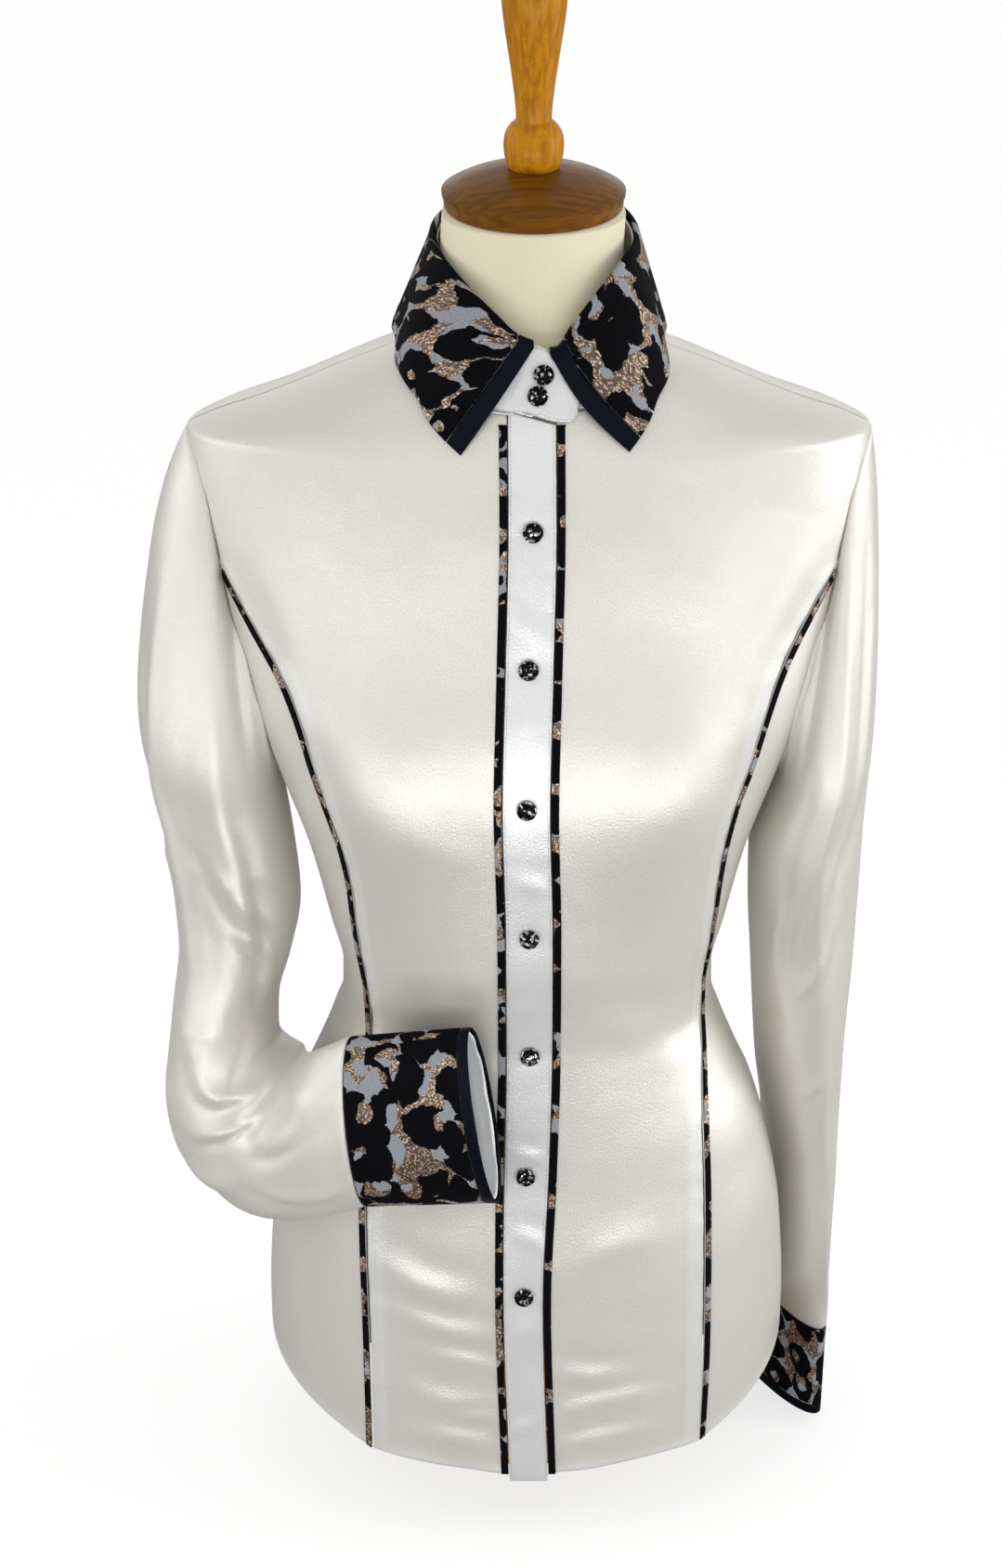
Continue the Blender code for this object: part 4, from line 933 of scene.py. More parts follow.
@dataclass(frozen=True)
class LeopardBrocade(Finish):
    """Black rosettes and blotches over silver-grey patches and a copper glitter ground with painted sparkle.
    """

    black: Triple = (0.0030, 0.0030, 0.0045)
    silver: Triple = (0.29, 0.31, 0.345)
    copper: Triple = (0.13, 0.092, 0.068)
    # Colour of the painted sparkle on the glitter
    glint: Triple = (0.76, 0.64, 0.46)
    motif: float = 0.021
    patch: float = 0.016

    def warped(self, graph: Graph, place: Any) -> Any:
        """The place moved about, so that outlines bulge and fray."""
        moved = place
        for scale, reach in ((70.0, 0.011), (260.0, 0.0032), (900.0, 0.0012)):
            off = graph.vector("SUBTRACT", graph.noise(place, scale, 0.0, "Color"), (0.5, 0.5, 0.5))
            moved = graph.vector("ADD", moved, graph.scaled(off, (reach,) * 3))
        return moved

    def spots(self, graph: Graph, place: Any, size: float, least: float, spread: float, hole: float) -> Any:
        """Round spots, one in a cell, some of them open in the middle.

        Args:
            graph: The material's graph.
            place: Where to look.
            size: The cells' size.
            least: The smallest spot, as a share of a cell.
            spread: How much larger the largest is.
            hole: The largest opening, as a share of a cell.

        Returns:
            1 inside the spots and 0 outside.
        """
        look = {"Vector": place, "Scale": 1 / size, "Randomness": 0.8}
        cells = graph.add("TexVoronoi", look, voronoi_dimensions="2D")
        own = graph.add("SeparateColor", {0: cells.outputs["Color"]}).outputs
        reach = graph.math("MULTIPLY_ADD", own[0], spread, least)
        inside = graph.math("LESS_THAN", cells.outputs["Distance"], reach)
        if hole == 0:
            return inside
        middle = graph.vector("SUBTRACT", place, cells.outputs["Position"])
        middle = graph.scaled(middle, (1 / size, 1 / size, 0.0))
        aside = graph.vector("SUBTRACT", cells.outputs["Color"], (0.5, 0.5, 0.5))
        aside = graph.scaled(aside, (0.85, 0.85, 0.0))
        far = graph.vector("SUBTRACT", middle, aside)
        far = graph.add("VectorMath", {0: far}, operation="LENGTH").outputs["Value"]
        opened = graph.math("LESS_THAN", far, graph.math("MULTIPLY_ADD", own[2], 1.2 * hole, -0.2 * hole))
        return graph.math("SUBTRACT", inside, opened, clamp=True)

    def build(self, graph: Graph, shader: bpy.types.Node) -> None:
        """Adds the brocade's nodes to its shader."""
        cloth = graph.add("UVMap", uv_map="cloth").outputs[0]
        place = self.warped(graph, cloth)
        black = self.spots(graph, place, self.motif, 0.42, 0.24, 0.36)
        silver = self.spots(graph, place, self.patch, 0.10, 0.44, 0.0)
        finer = graph.scaled(cloth, (1500.0, 1150.0, 1.0))
        threads = graph.add("TexVoronoi", {"Vector": finer, "Scale": 1.0})
        spark = graph.add("SeparateColor", {0: threads.outputs["Color"]}).outputs
        # Random cells of the glitter are painted bright in the glint colour, a painted sparkle on the copper
        # ground
        bright = graph.remap(spark[0], 0.55, 0.98)
        tinted = graph.mix(0.30, self.glint, threads.outputs["Color"])
        glitter = graph.mix(bright, self.copper, tinted)
        weave = {"Vector": cloth, "Across": 2600.0, "Along": 1500.0, "Drift": 40.0}
        grain = graph.add("Group", weave, node_tree=grain_group())
        shade = graph.remap(grain.outputs["Height"], 0.35, 0.65)
        grey = graph.mix(shade, tuple(c * 0.72 for c in self.silver), tuple(c * 1.25 for c in self.silver))
        plain = graph.math("MAXIMUM", silver, black)
        ground = graph.math("SUBTRACT", 1.0, plain)
        metal = graph.math("MULTIPLY", ground, 0.7)
        height = graph.math("MULTIPLY_ADD", spark[0], ground, grain.outputs["Height"])
        raised = graph.math("MULTIPLY_ADD", black, -1.0, height)
        bump = graph.bump(0.6, 0.00025, raised)
        graph.set(shader, {
            "Base Color": graph.mix(black, graph.mix(silver, glitter, grey), self.black),
            "Metallic": metal,
            "Roughness": graph.math("MULTIPLY_ADD", plain, 0.36, 0.30),
            "Specular IOR Level": graph.math("MULTIPLY_ADD", black, -0.20, 0.24),
            "Normal": bump,
        })


@dataclass(frozen=True)
class Metal(Finish):
    """Polished metal whose colour carries painted glints, bright noise patches on a near-black ground that
    stand in for reflections; its face lightly hammered.
    """

    # Colour of the painted glints
    colour: Triple = (0.58, 0.57, 0.56)
    # Near-black ground between the painted glints, a painted dark reflection
    recess: Triple = (0.012, 0.011, 0.011)
    roughness: float = 0.10

    def build(self, graph: Graph, shader: bpy.types.Node) -> None:
        """Adds the metal's nodes to its shader."""
        place = graph.add("TexCoord").outputs["Object"]
        dents = graph.add("TexVoronoi", {"Vector": place, "Scale": 520.0}, feature="SMOOTH_F1")
        # Noise patches where the painted glints go; they are also smoother
        painted_glints = graph.noise(place, 480.0, 1.0)
        bump = graph.bump(1.0, 0.0007, dents.outputs["Distance"])
        graph.set(shader, {
            "Base Color": graph.mix(graph.remap(painted_glints, 0.53, 0.62), self.recess, self.colour),
            "Metallic": 1.0,
            "Roughness": graph.remap(painted_glints, 0.3, 0.7, self.roughness + 0.12, self.roughness),
            "Normal": bump,
        })


@dataclass(frozen=True)
class Jersey(Finish):
    """Cream jersey knitted in fine upright ribs, with painted shade in the furrows between them."""

    colour: Triple = (0.98, 0.925, 0.705)
    # Colour of the furrows between the ribs, a painted shade
    furrow: Triple = (0.66, 0.58, 0.38)
    rib: float = 0.00142

    def build(self, graph: Graph, shader: bpy.types.Node) -> None:
        """Adds the jersey's nodes to its shader."""
        place = graph.add("UVMap", uv_map="cloth").outputs[0]
        parts = graph.add("SeparateXYZ", {0: place})
        wobble = graph.math("MULTIPLY", graph.noise(place, 60.0, 1.0), 2.5)
        turn = graph.math("MULTIPLY_ADD", parts.outputs[0], 2 * math.pi / self.rib, wobble)
        wave = graph.math("MULTIPLY_ADD", graph.math("SINE", turn), 0.5, 0.5)
        knit = graph.noise(graph.scaled(place, (900.0, 2200.0, 1.0)), 1.0, 2.0)
        bump = graph.bump(0.5, 0.0003, graph.math("MULTIPLY_ADD", knit, 0.5, wave))
        # Painted shade: darker colour where the rib wave dips
        shade = graph.math("MULTIPLY", graph.math("SUBTRACT", 1.0, wave), 0.62)
        graph.set(shader, {
            "Base Color": graph.mix(shade, self.colour, self.furrow),
            "Roughness": 0.85,
            "Sheen Weight": 0.25,
            "Normal": bump,
        })


@dataclass(frozen=True)
class Wood(Finish):
    """Turned wood under varnish."""

    light: Triple = (0.58, 0.250, 0.008)
    dark: Triple = (0.40, 0.150, 0.005)
    pore: Triple = (0.06, 0.022, 0.006)
    along: Triple = (1.0, 1.0, 0.04)
    scale: float = 420.0
    roughness: float = 0.26
    varnish: float = 0.12

    def build(self, graph: Graph, shader: bpy.types.Node) -> None:
        """Adds the wood's nodes to its shader."""
        place = graph.scaled(graph.add("TexCoord").outputs["Object"], self.along)
        look = {"Vector": place, "Scale": self.scale, "Pores": self.scale * 5}
        grain = graph.add("Group", look, node_tree=wood_group())
        streak = grain.outputs["Streak"]
        toned = graph.mix(streak, self.light, self.dark)
        pores = graph.math("MULTIPLY", grain.outputs["Pores"], 0.35)
        bump = graph.bump(0.12, 0.0003, streak)
        graph.set(shader, {
            "Base Color": graph.mix(pores, toned, self.pore),
            "Roughness": graph.remap(streak, 0.0, 1.0, self.roughness, self.roughness + 0.10),
            "Specular IOR Level": 0.06,
            "Coat Weight": self.varnish,
            "Coat Roughness": 0.16,
            "Normal": bump,
        })


@dataclass(frozen=True)
class Paper(Finish):
    """Plain pale floor, a little brighter to the eye than the light that it throws back."""

    glow: float = 0.72

    def build(self, graph: Graph, shader: bpy.types.Node) -> None:
        """Adds the floor's nodes to its shader."""
        seen = graph.add("LightPath").outputs["Is Camera Ray"]
        graph.set(shader, {
            "Base Color": (0.34, 0.34, 0.34, 1.0),
            "Roughness": 0.9,
            "Emission Color": (1.0, 1.0, 1.0, 1.0),
            "Emission Strength": graph.math("MULTIPLY", seen, self.glow),
        })


IVORY = Satin("ivory_satin")
WHITE = Satin("white_satin", colour=(0.84, 0.85, 0.86), doubled=(0.92, 0.93, 0.94), roughness=0.34)
BLACK = Satin(
    "black_satin", colour=(0.005, 0.007, 0.012), doubled=(0.009, 0.012, 0.020),
    roughness=0.34, lustre=0.6, sheen=0.0, gloss=0.10,
)
BROCADE = LeopardBrocade("leopard_brocade")
GUNMETAL = Metal("gunmetal")
JERSEY = Jersey("ribbed_jersey")
DARK_WOOD = Wood(
    "dark_wood", light=(0.200, 0.080, 0.007), dark=(0.125, 0.048, 0.005),
    along=(0.05, 1.0, 1.0), scale=300.0, roughness=0.20,
)
WARM_WOOD = Wood("warm_wood")
BASE_WOOD = Wood("warm_wood", "faceplate finish", along=(0.05, 1.0, 1.0))


# ---------------------------------------------------------------- stitches
@dataclass(frozen=True)
class Thread:
    """Lockstitches of one thread, as a joined mesh of small rounded bars."""

    length: float = 0.0017
    pitch: float = 0.0024
    width: float = 0.00036
    rise: float = 0.00010

    def row(self, line: Array, out: Array) -> tuple[Array, Array]:
        """Stitches along one line.

        Args:
            line: Points along the seam.
            out: Unit vectors out of the cloth there.

        Returns:
            Corner points and faces of all its stitches.
        """
        run = line_run(line)
        middles = np.arange(self.pitch, run[-1] - self.pitch / 2, self.pitch)
        read = lambda values, at: np.stack([np.interp(at, run, values[:, k]) for k in range(3)], -1)
        centre, normal = read(line, middles), unit(read(out, middles))
        ahead = unit(read(line, middles + 0.0004) - read(line, middles - 0.0004))
        across = unit(np.cross(normal, ahead))
        points = []
        for share, size in ((-0.5, 0.45), (-0.25, 1.0), (0.25, 1.0), (0.5, 0.45)):
            for side, up in ((-1, 0), (0, -1), (1, 0), (0, 1)):
                points.append(
                    centre + ahead * share * self.length
                    + across * side * size * self.width / 2
                    + normal * (up * size * self.width / 2 + self.rise)
                )
        corners = np.stack(points, 1).reshape(-1, 3)
        faces = [(3, 2, 1, 0), (12, 13, 14, 15)]
        for ring in range(3):
            for k in range(4):
                a, b = ring * 4 + k, ring * 4 + (k + 1) % 4
                faces.append((a, b, b + 4, a + 4))
        step = 16 * np.arange(len(middles))[:, None, None]
        return corners, (np.array(faces)[None] + step).reshape(-1, 4)

    def sew(self, name: str, rows: Sequence[tuple[Array, Array]], finish: Finish) -> bpy.types.Object:
        """Several rows of stitches as one piece.

        Args:
            name: The piece's name.
            rows: Points and outward vectors of each row, in the torso frame.
            finish: The thread's finish.

        Returns:
            The piece.
        """
        points, faces, count = [], [], 0
        for line, out in rows:
            corners, quads = self.row(line, out)
            points.append(corners)
            faces.append(quads + count)
            count += len(corners)
        mesh = bpy.data.meshes.new(name)
        mesh.from_pydata(torso_frame(np.concatenate(points)).tolist(), [], np.concatenate(faces).tolist())
        mesh.uv_layers.new(name="cloth")
        mesh.shade_smooth()
        return dress(linked(name, mesh), finish)


THREAD = Thread()


# ---------------------------------------------------------------- body of the shirt
@dataclass(frozen=True)
class Panels:
    """Centre fronts, side fronts and back."""

    centre_columns: int = 36
    side_columns: int = 22
    back_columns: int = 44
    edge_roll: float = 0.0007
    hem_width: float = 0.0052
    hem_step: float = 0.00035
    hem_blend: float = 0.0006
    hem_trough: Place = (0.0012, 0.0007)
    hem_trough_share: float = 0.7
    hem_puckers: Pucker = Pucker(0.0005, 0.0058, 2, 0.019, 0.010)
    seam_puckers: Pucker = Pucker(0.00016, 0.0031, 2, 0.017, 0.006)
    first_side_crease: int = 13
    allowance: float = 0.0098
    allowance_step: float = 0.00022
    centre_flat: Place = (0.160, 0.670)
    centre_area: float = 0.066
    side_flat: Place = (0.085, 0.540)
    side_area: float = 0.028
    back_flat: Place = (0.400, 0.690)
    back_area: float = 0.205

    # Creases of the fronts: x and height at both ends, half width, depth, bow, lip
    front_creases: tuple[Crease, ...] = (
        Crease((-0.084, 0.168), (-0.030, 0.150), 0.0090, 0.0012, -0.004, 0.5),
        Crease((-0.076, 0.138), (-0.020, 0.128), 0.0066, 0.0009, -0.003, 0.6),
        Crease((-0.055, 0.112), (-0.017, 0.106), 0.0050, 0.0007, 0.002, 0.6),
        Crease((-0.070, 0.090), (-0.018, 0.082), 0.0064, 0.0008, -0.003, 0.5),
        Crease((-0.045, 0.072), (-0.017, 0.074), 0.0038, 0.0006, 0.001, 0.6),
        Crease((-0.060, 0.060), (-0.018, 0.056), 0.0054, 0.0008, 0.002, 0.5),
        Crease((0.018, 0.104), (0.062, 0.099), 0.0060, 0.0010, -0.002, 0.5),
        Crease((0.018, 0.076), (0.078, 0.084), 0.0062, 0.0009, 0.004, 0.6),
        Crease((0.020, 0.056), (0.070, 0.061), 0.0048, 0.0007, 0.002, 0.5),
        Crease((0.026, 0.175), (0.080, 0.185), 0.0100, 0.0009, 0.003, 0.0),
        Crease((-0.078, 0.196), (-0.034, 0.222), 0.0110, 0.0008, 0.004, 0.0),
        Crease((-0.030, 0.420), (-0.085, 0.440), 0.0120, 0.0006, -0.003, 0.0),
        Crease((0.028, 0.330), (0.070, 0.300), 0.0100, 0.0007, 0.003, 0.3),
        Crease((-0.150, 0.590), (-0.128, 0.520), 0.0090, 0.0012, 0.006, 0.5),
        Crease((0.152, 0.592), (0.122, 0.500), 0.0090, 0.0014, -0.008, 0.5),
        Crease((0.140, 0.600), (0.105, 0.520), 0.0110, -0.0009, -0.006, 0.0),
        Crease((-0.030, 0.650), (-0.070, 0.560), 0.0200, 0.0006, 0.010, 0.0),
        Crease((0.036, 0.648), (0.086, 0.560), 0.0200, 0.0006, -0.010, 0.0),
        Crease((-0.100, 0.300), (-0.070, 0.322), 0.0090, -0.0008, 0.0, 0.5),
        Crease((0.070, 0.318), (0.105, 0.296), 0.0090, -0.0008, 0.0, 0.5),
    )
    # Creases of the back, seen from behind: distance to the right of the middle and height
    back_creases: tuple[Crease, ...] = (
        Crease((-0.075, 0.350), (-0.020, 0.325), 0.0100, 0.0018, -0.006, 0.5),
        Crease((0.015, 0.318), (0.080, 0.338), 0.0110, 0.0020, 0.006, 0.5),
        Crease((-0.085, 0.302), (-0.010, 0.290), 0.0080, 0.0016, 0.005, 0.6),
        Crease((0.020, 0.272), (0.092, 0.286), 0.0080, 0.0013, -0.004, 0.6),
        Crease((-0.100, 0.250), (-0.045, 0.262), 0.0070, 0.0010, 0.003, 0.5),
        Crease((-0.150, 0.560), (-0.090, 0.420), 0.0140, 0.0018, 0.012, 0.4),
        Crease((0.150, 0.570), (0.095, 0.430), 0.0130, 0.0016, -0.012, 0.4),
        Crease((-0.060, 0.160), (-0.030, 0.060), 0.0130, 0.0012, 0.006, 0.3),
        Crease((0.072, 0.170), (0.090, 0.070), 0.0120, 0.0010, -0.004, 0.3),
        Crease((-0.045, 0.660), (-0.110, 0.610), 0.0120, 0.0010, 0.006, 0.4),
    )

    def build(self) -> None:
        """Makes the five panels."""
        for side in Side:
            self.centre(side)
            self.side_front(side)
        self.back()

    def hem_share(self, above: Array) -> Array:
        """1 in the turned hem and 0 above it."""
        return np.clip((self.hem_width - above) / self.hem_blend + 0.5, 0, 1)

    def hem_lift(self, above: Array) -> Array:
        """Lift of the narrow turned hem at a distance above its edge."""
        inside = self.hem_share(above)
        below, half = self.hem_trough
        trough = np.exp(-(((above - self.hem_width + below) / half) ** 2))
        return self.hem_step * (inside - self.hem_trough_share * trough)

    def centre(self, side: Side) -> bpy.types.Object:
        """Centre front from the placket to the princess seam, armhole and shoulder."""
        s, fine = side.value, DRAFT.fine
        inner = DRAFT.front_edge(s, fine)
        arm = DRAFT.armhole_places(s, False, fine)[DRAFT.under_steps * fine + 1 :]
        outer = np.concatenate([DRAFT.spread(DRAFT.princess(s), DRAFT.lower_steps * fine), arm])
        outer = TORSO_FACE.shifted(outer, -s * SEAM)
        outer[-1, 0] = s * (90 - DRAFT.shoulder_gap)
        inner, outer = with_fine_ends(inner), with_fine_ends(outer)
        places = between(inner, outer, edge_shares(widths(inner, outer), self.centre_columns))
        turn, height = places[..., 0], places[..., 1]
        face = TORSO_FACE.face(turn, height)
        above, from_edge = run_lengths(face, 0), run_lengths(face, 1)
        to_seam = from_edge[:, -1:] - from_edge
        # Seam allowance under the cloth, marked as doubled; its whiter colour is also a painted highlight
        # along the princess seam
        doubled = np.clip((self.allowance - to_seam) / 0.0010 + 0.5, 0, 1) * (height < JUNCTION_HEIGHT)
        lift = creased(self.front_creases, face[..., 0], height) + self.hem_lift(above)
        lift += self.hem_puckers.lift(face[..., 0], above)
        lift += self.allowance_step * doubled - edge_rounding(face, self.edge_roll)
        lift += self.seam_puckers.lift(height, to_seam)
        grid = rows_right(side, TORSO_FACE.point(turn, height, lift))
        made = grid_object(f"centre_front_{side.label}", grid, flat_uv(grid, (0.3 + 0.2 * s, 0.0)))
        mark(made, "layers", rows_right(side, np.maximum(doubled, self.hem_share(above))))
        thicken(made, WALL)
        dress(made, IVORY, f"front_centre_{side.label}")
        return made

    def side_lines(self, side: Side, fine: int) -> tuple[Array, Array]:
        """The side front's two edges: princess seam, and side seam with the armhole's lower part."""
        s = side.value
        inner = DRAFT.spread(DRAFT.princess(s), DRAFT.lower_steps * fine)
        arm = DRAFT.spread(DRAFT.armhole(s, False, 0, JUNCTION_ROW - 0.10), DRAFT.under_steps * fine)
        return inner, np.concatenate([DRAFT.side_seam(s, fine), arm[1:]])

    def side_front(self, side: Side) -> bpy.types.Object:
        """Side front between the princess seam and the side seam."""
        s = side.value
        inner, outer = self.side_lines(side, DRAFT.fine)
        inner, outer = TORSO_FACE.shifted(inner, s * SEAM), TORSO_FACE.shifted(outer, -s * SEAM)
        inner, outer = with_fine_ends(inner), with_fine_ends(outer)
        places = between(inner, outer, edge_shares(widths(inner, outer), self.side_columns))
        turn, height = places[..., 0], places[..., 1]
        face = TORSO_FACE.face(turn, height)
        above = run_lengths(face, 0)
        lift = self.hem_lift(above) - edge_rounding(face, self.edge_roll)
        lift += 0.5 * creased(self.front_creases[self.first_side_crease :], face[..., 0], height)
        grid = rows_right(side, TORSO_FACE.point(turn, height, lift))
        made = grid_object(f"side_front_{side.label}", grid, flat_uv(grid, (0.9 + 0.2 * s, 0.0)))
        mark(made, "layers", rows_right(side, self.hem_share(above)))
        thicken(made, WALL)
        dress(made, IVORY, f"front_side_{side.label}")
        return made

    def back(self) -> bpy.types.Object:
        """The back in one piece."""
        fine, gap = DRAFT.fine, DRAFT.shoulder_gap
        heights = np.linspace(float(TORSO_FACE.hem(180)), float(TORSO_FACE.neck(180)), DRAFT.measured)
        steps = DRAFT.side_seam_steps + DRAFT.back_arm_steps
        middle = np.stack([np.full(heights.shape, 180.0), heights], -1)
        middle = DRAFT.spread(middle, (steps - DRAFT.back_neck_steps) * fine)
        turns = np.linspace(180, 90 + gap, DRAFT.back_neck_steps * fine + 1)[1:]
        inner = np.concatenate([middle, np.stack([turns, TORSO_FACE.neck(turns)], -1)])
        outer = np.concatenate([DRAFT.side_seam(1, fine), DRAFT.armhole_places(1, True, fine)[1:]])
        outer = TORSO_FACE.shifted(outer, SEAM)
        outer[-1, 0] = 90 + gap
        inner, outer = with_fine_ends(inner), with_fine_ends(outer)
        shares = edge_shares(widths(inner, outer), self.back_columns)[:, :-3]
        shares[:, -1] = 1.0
        half = between(outer, inner, shares)
        other = half[:, -2::-1] * np.array([-1.0, 1.0]) + np.array([360.0, 0.0])
        places = np.concatenate([half, other], axis=1)
        turn, height = places[..., 0], places[..., 1]
        face = TORSO_FACE.face(turn, height)
        above = run_lengths(face, 0)
        lift = creased(self.back_creases, -face[..., 0], height) + self.hem_lift(above)
        lift -= edge_rounding(face, self.edge_roll)
        points = TORSO_FACE.point(turn, height, lift)
        made = grid_object("back_panel", points, flat_uv(points, (1.5, 0.0)))
        mark(made, "layers", self.hem_share(above))
        thicken(made, WALL)
        dress(made, IVORY, "back")
        return made


@dataclass(frozen=True)
class Placket:
    """White band down the front, the brocade piping on both sides, and their stitching."""

    columns: int = 16
    steps: int = 200
    edge_roll: float = 0.0009
    stitch_inset: float = 0.0013
    stitch_sink: float = 0.00012
    groove: Place = (0.00016, 0.0005)
    puckers: Pucker = Pucker(0.00014, 0.0023, 3, 0.013, 0.003)
    snap_dent: float = 0.00035
    snap_dent_reach: float = 0.0085
    piping_columns: int = 5
    band_flat: Place = (0.0275, 0.660)
    placket_piping_flat: Place = (0.0105, 0.630)
    placket_piping_area: float = 0.00264
    princess_piping_flat: Place = (0.0105, 0.560)
    princess_piping_area: float = 0.00236

    # Creases of the band: x and height at both ends
    creases: tuple[Crease, ...] = (
        Crease((-0.010, 0.196), (0.010, 0.186), 0.0056, 0.0005, 0.0, 0.4),
        Crease((-0.009, 0.128), (0.009, 0.134), 0.0066, 0.00045, 0.0, 0.3),
        Crease((-0.008, 0.244), (0.010, 0.240), 0.0038, 0.0006, 0.0, 0.4),
        Crease((-0.010, 0.330), (0.008, 0.338), 0.0060, 0.0006, 0.0, 0.3),
        Crease((-0.006, 0.415), (0.010, 0.408), 0.0050, 0.0005, 0.0, 0.3),
        Crease((-0.010, 0.500), (0.004, 0.508), 0.0060, 0.0005, 0.0, 0.3),
        Crease((-0.006, 0.560), (0.010, 0.548), 0.0050, 0.0006, 0.0, 0.4),
        Crease((-0.010, 0.066), (0.006, 0.072), 0.0045, 0.0006, 0.0, 0.4),
    )

    def build(self, panels: Panels) -> None:
        """Makes the band, the four pipings and the stitches."""
        self.band()
        for side in Side:
            self.placket_piping(side)
            self.princess_piping(side, panels)
        self.stitches()

    def band_places(self, share: Array) -> Array:
        """Places of the band at shares of its half width, bottom to top."""
        stops = np.linspace(PLACKET_BOTTOM, PLACKET_TOP, self.steps + 1)
        heights = with_fine_ends(np.stack([stops, stops], -1))[:, 0][:, None]
        x = Curve(PLACKET, 1)(heights) + share[None] * Curve(PLACKET, 2)(heights)
        lift = ((heights - PLACKET_BOTTOM) / (PLACKET_TOP - PLACKET_BOTTOM)) ** 12
        z = heights - lift * (NECK_SLANT * x + GAP)
        return np.stack([TORSO_FACE.turn_at(x, z), z], -1)

    def band(self) -> bpy.types.Object:
        """The band itself."""
        width = 2 * PLACKET[4][2]
        shares = edge_shares(np.array([width]), self.columns)[0] * 2 - 1
        places = self.band_places(shares)
        turn, height = places[..., 0], places[..., 1]
        face = TORSO_FACE.face(turn, height)
        across = run_lengths(face, 1)
        near = np.minimum(across, across[:, -1:] - across)
        lift = BAND_WALL / 2 + creased(self.creases, face[..., 0], height)
        lift = lift - edge_rounding(face, self.edge_roll)
        depth, half = self.groove
        lift -= depth * np.exp(-(((near - self.stitch_inset) / half) ** 2))
        lift += self.puckers.lift(height, near)
        for snap_height, shift in SNAPS:
            off = np.hypot(face[..., 0] - Curve(PLACKET, 1)(snap_height) - shift, height - snap_height)
            lift -= self.snap_dent * np.exp(-((off / self.snap_dent_reach) ** 2))
        points = TORSO_FACE.point(turn, height, lift)
        made = grid_object("placket", points, flat_uv(points, (2.4, 0.0)))
        mark(made, "layers", np.exp(-((near / 0.0012) ** 2)))
        thicken(made, BAND_WALL)
        dress(made, WHITE, "placket_band")
        return made

    def piping_shares(self) -> Array:
        """Columns across a piping, closer together at its edges."""
        return np.array([0.0, 0.06, 0.18, *np.linspace(0.3, 0.7, self.piping_columns), 0.82, 0.94, 1.0])

    def strip(self, name: str, side: Side, places: Array, start: Place) -> bpy.types.Object:
        """A flat strip of piping along places that run from its inner edge outwards."""
        turn, height = places[..., 0], places[..., 1]
        face = TORSO_FACE.point(turn, height, GAP + PIPING_WALL)
        drop = edge_rounding(face, 0.0007)
        grid = rows_right(side, face - drop[..., None] * TORSO_FACE.out(turn, height))
        made = grid_object(name, grid, flat_uv(grid, start))
        thicken(made, PIPING_WALL)
        return made

    def placket_piping(self, side: Side) -> bpy.types.Object:
        """Piping between the band and the centre front."""
        s, fine = side.value, DRAFT.fine
        inner = DRAFT.front_edge(s, fine)[: (DRAFT.lower_steps + DRAFT.front_edge_steps) * fine + 1]
        inner[:, 1] = np.minimum(inner[:, 1], PIPING_TOP)
        outer = TORSO_FACE.shifted(inner, s * PIPING_WIDTH)
        shares = self.piping_shares()
        places = between(inner, outer, np.broadcast_to(shares, (len(inner), len(shares))))
        made = self.strip(f"placket_edge_piping_{side.label}", side, places, (2.7 + 0.1 * s, 0.013))
        dress(made, BROCADE, f"placket_piping_{side.label}")
        return made

    def princess_piping(self, side: Side, panels: Panels) -> bpy.types.Object:
        """Piping along the princess seam, on the side front."""
        s = side.value
        inner, outer = panels.side_lines(side, DRAFT.fine)
        inner, outer = TORSO_FACE.shifted(inner, s * SEAM), TORSO_FACE.shifted(outer, -s * SEAM)
        inner, outer = inner[:-2], outer[:-2]
        width = np.minimum(PIPING_WIDTH / widths(inner, outer), 0.9)
        places = between(inner, outer, width[:, None] * self.piping_shares()[None])
        made = self.strip(f"princess_seam_piping_{side.label}", side, places, (3.1 + 0.1 * s, 0.0))
        dress(made, BROCADE, f"princess_piping_{side.label}")
        return made

    def stitches(self) -> None:
        """Topstitching inside both edges of the band."""
        width = 2 * PLACKET[4][2]
        share = 1 - 2 * self.stitch_inset / width
        rows = []
        for sign in (-1, 1):
            places = self.band_places(np.array([sign * share]))[2:-2, 0]
            out = TORSO_FACE.out(places[:, 0], places[:, 1])
            line = TORSO_FACE.point(places[:, 0], places[:, 1], BAND_WALL / 2 - self.stitch_sink)
            rows.append((line, out))
        THREAD.sew("placket_stitching", rows, IVORY)


# ---------------------------------------------------------------- sleeves
@dataclass(frozen=True)
class RingFold:
    """A long soft fold of a sleeve, pressed in towards its middle line.

    Angles go round the sleeve: 0 outside, 90 front, 180 next to the body, 270 behind.
    """

    angle: float
    half: float
    depth: float
    first: float
    last: float
    end_angle: float | None = None

    def press(self, angles: Array, along: Array) -> Array:
        """How far the fold presses the sleeve in at its angles and shares of its length."""
        middle = self.angle
        share = np.clip((along - self.first) / (self.last - self.first), 0, 1)
        if self.end_angle is not None:
            middle = self.angle + (self.end_angle - self.angle) * share
        off = (np.degrees(angles) - middle + 180) % 360 - 180
        return self.depth * np.sin(np.pi * share) ** 0.7 * np.exp(-((off / self.half) ** 2))


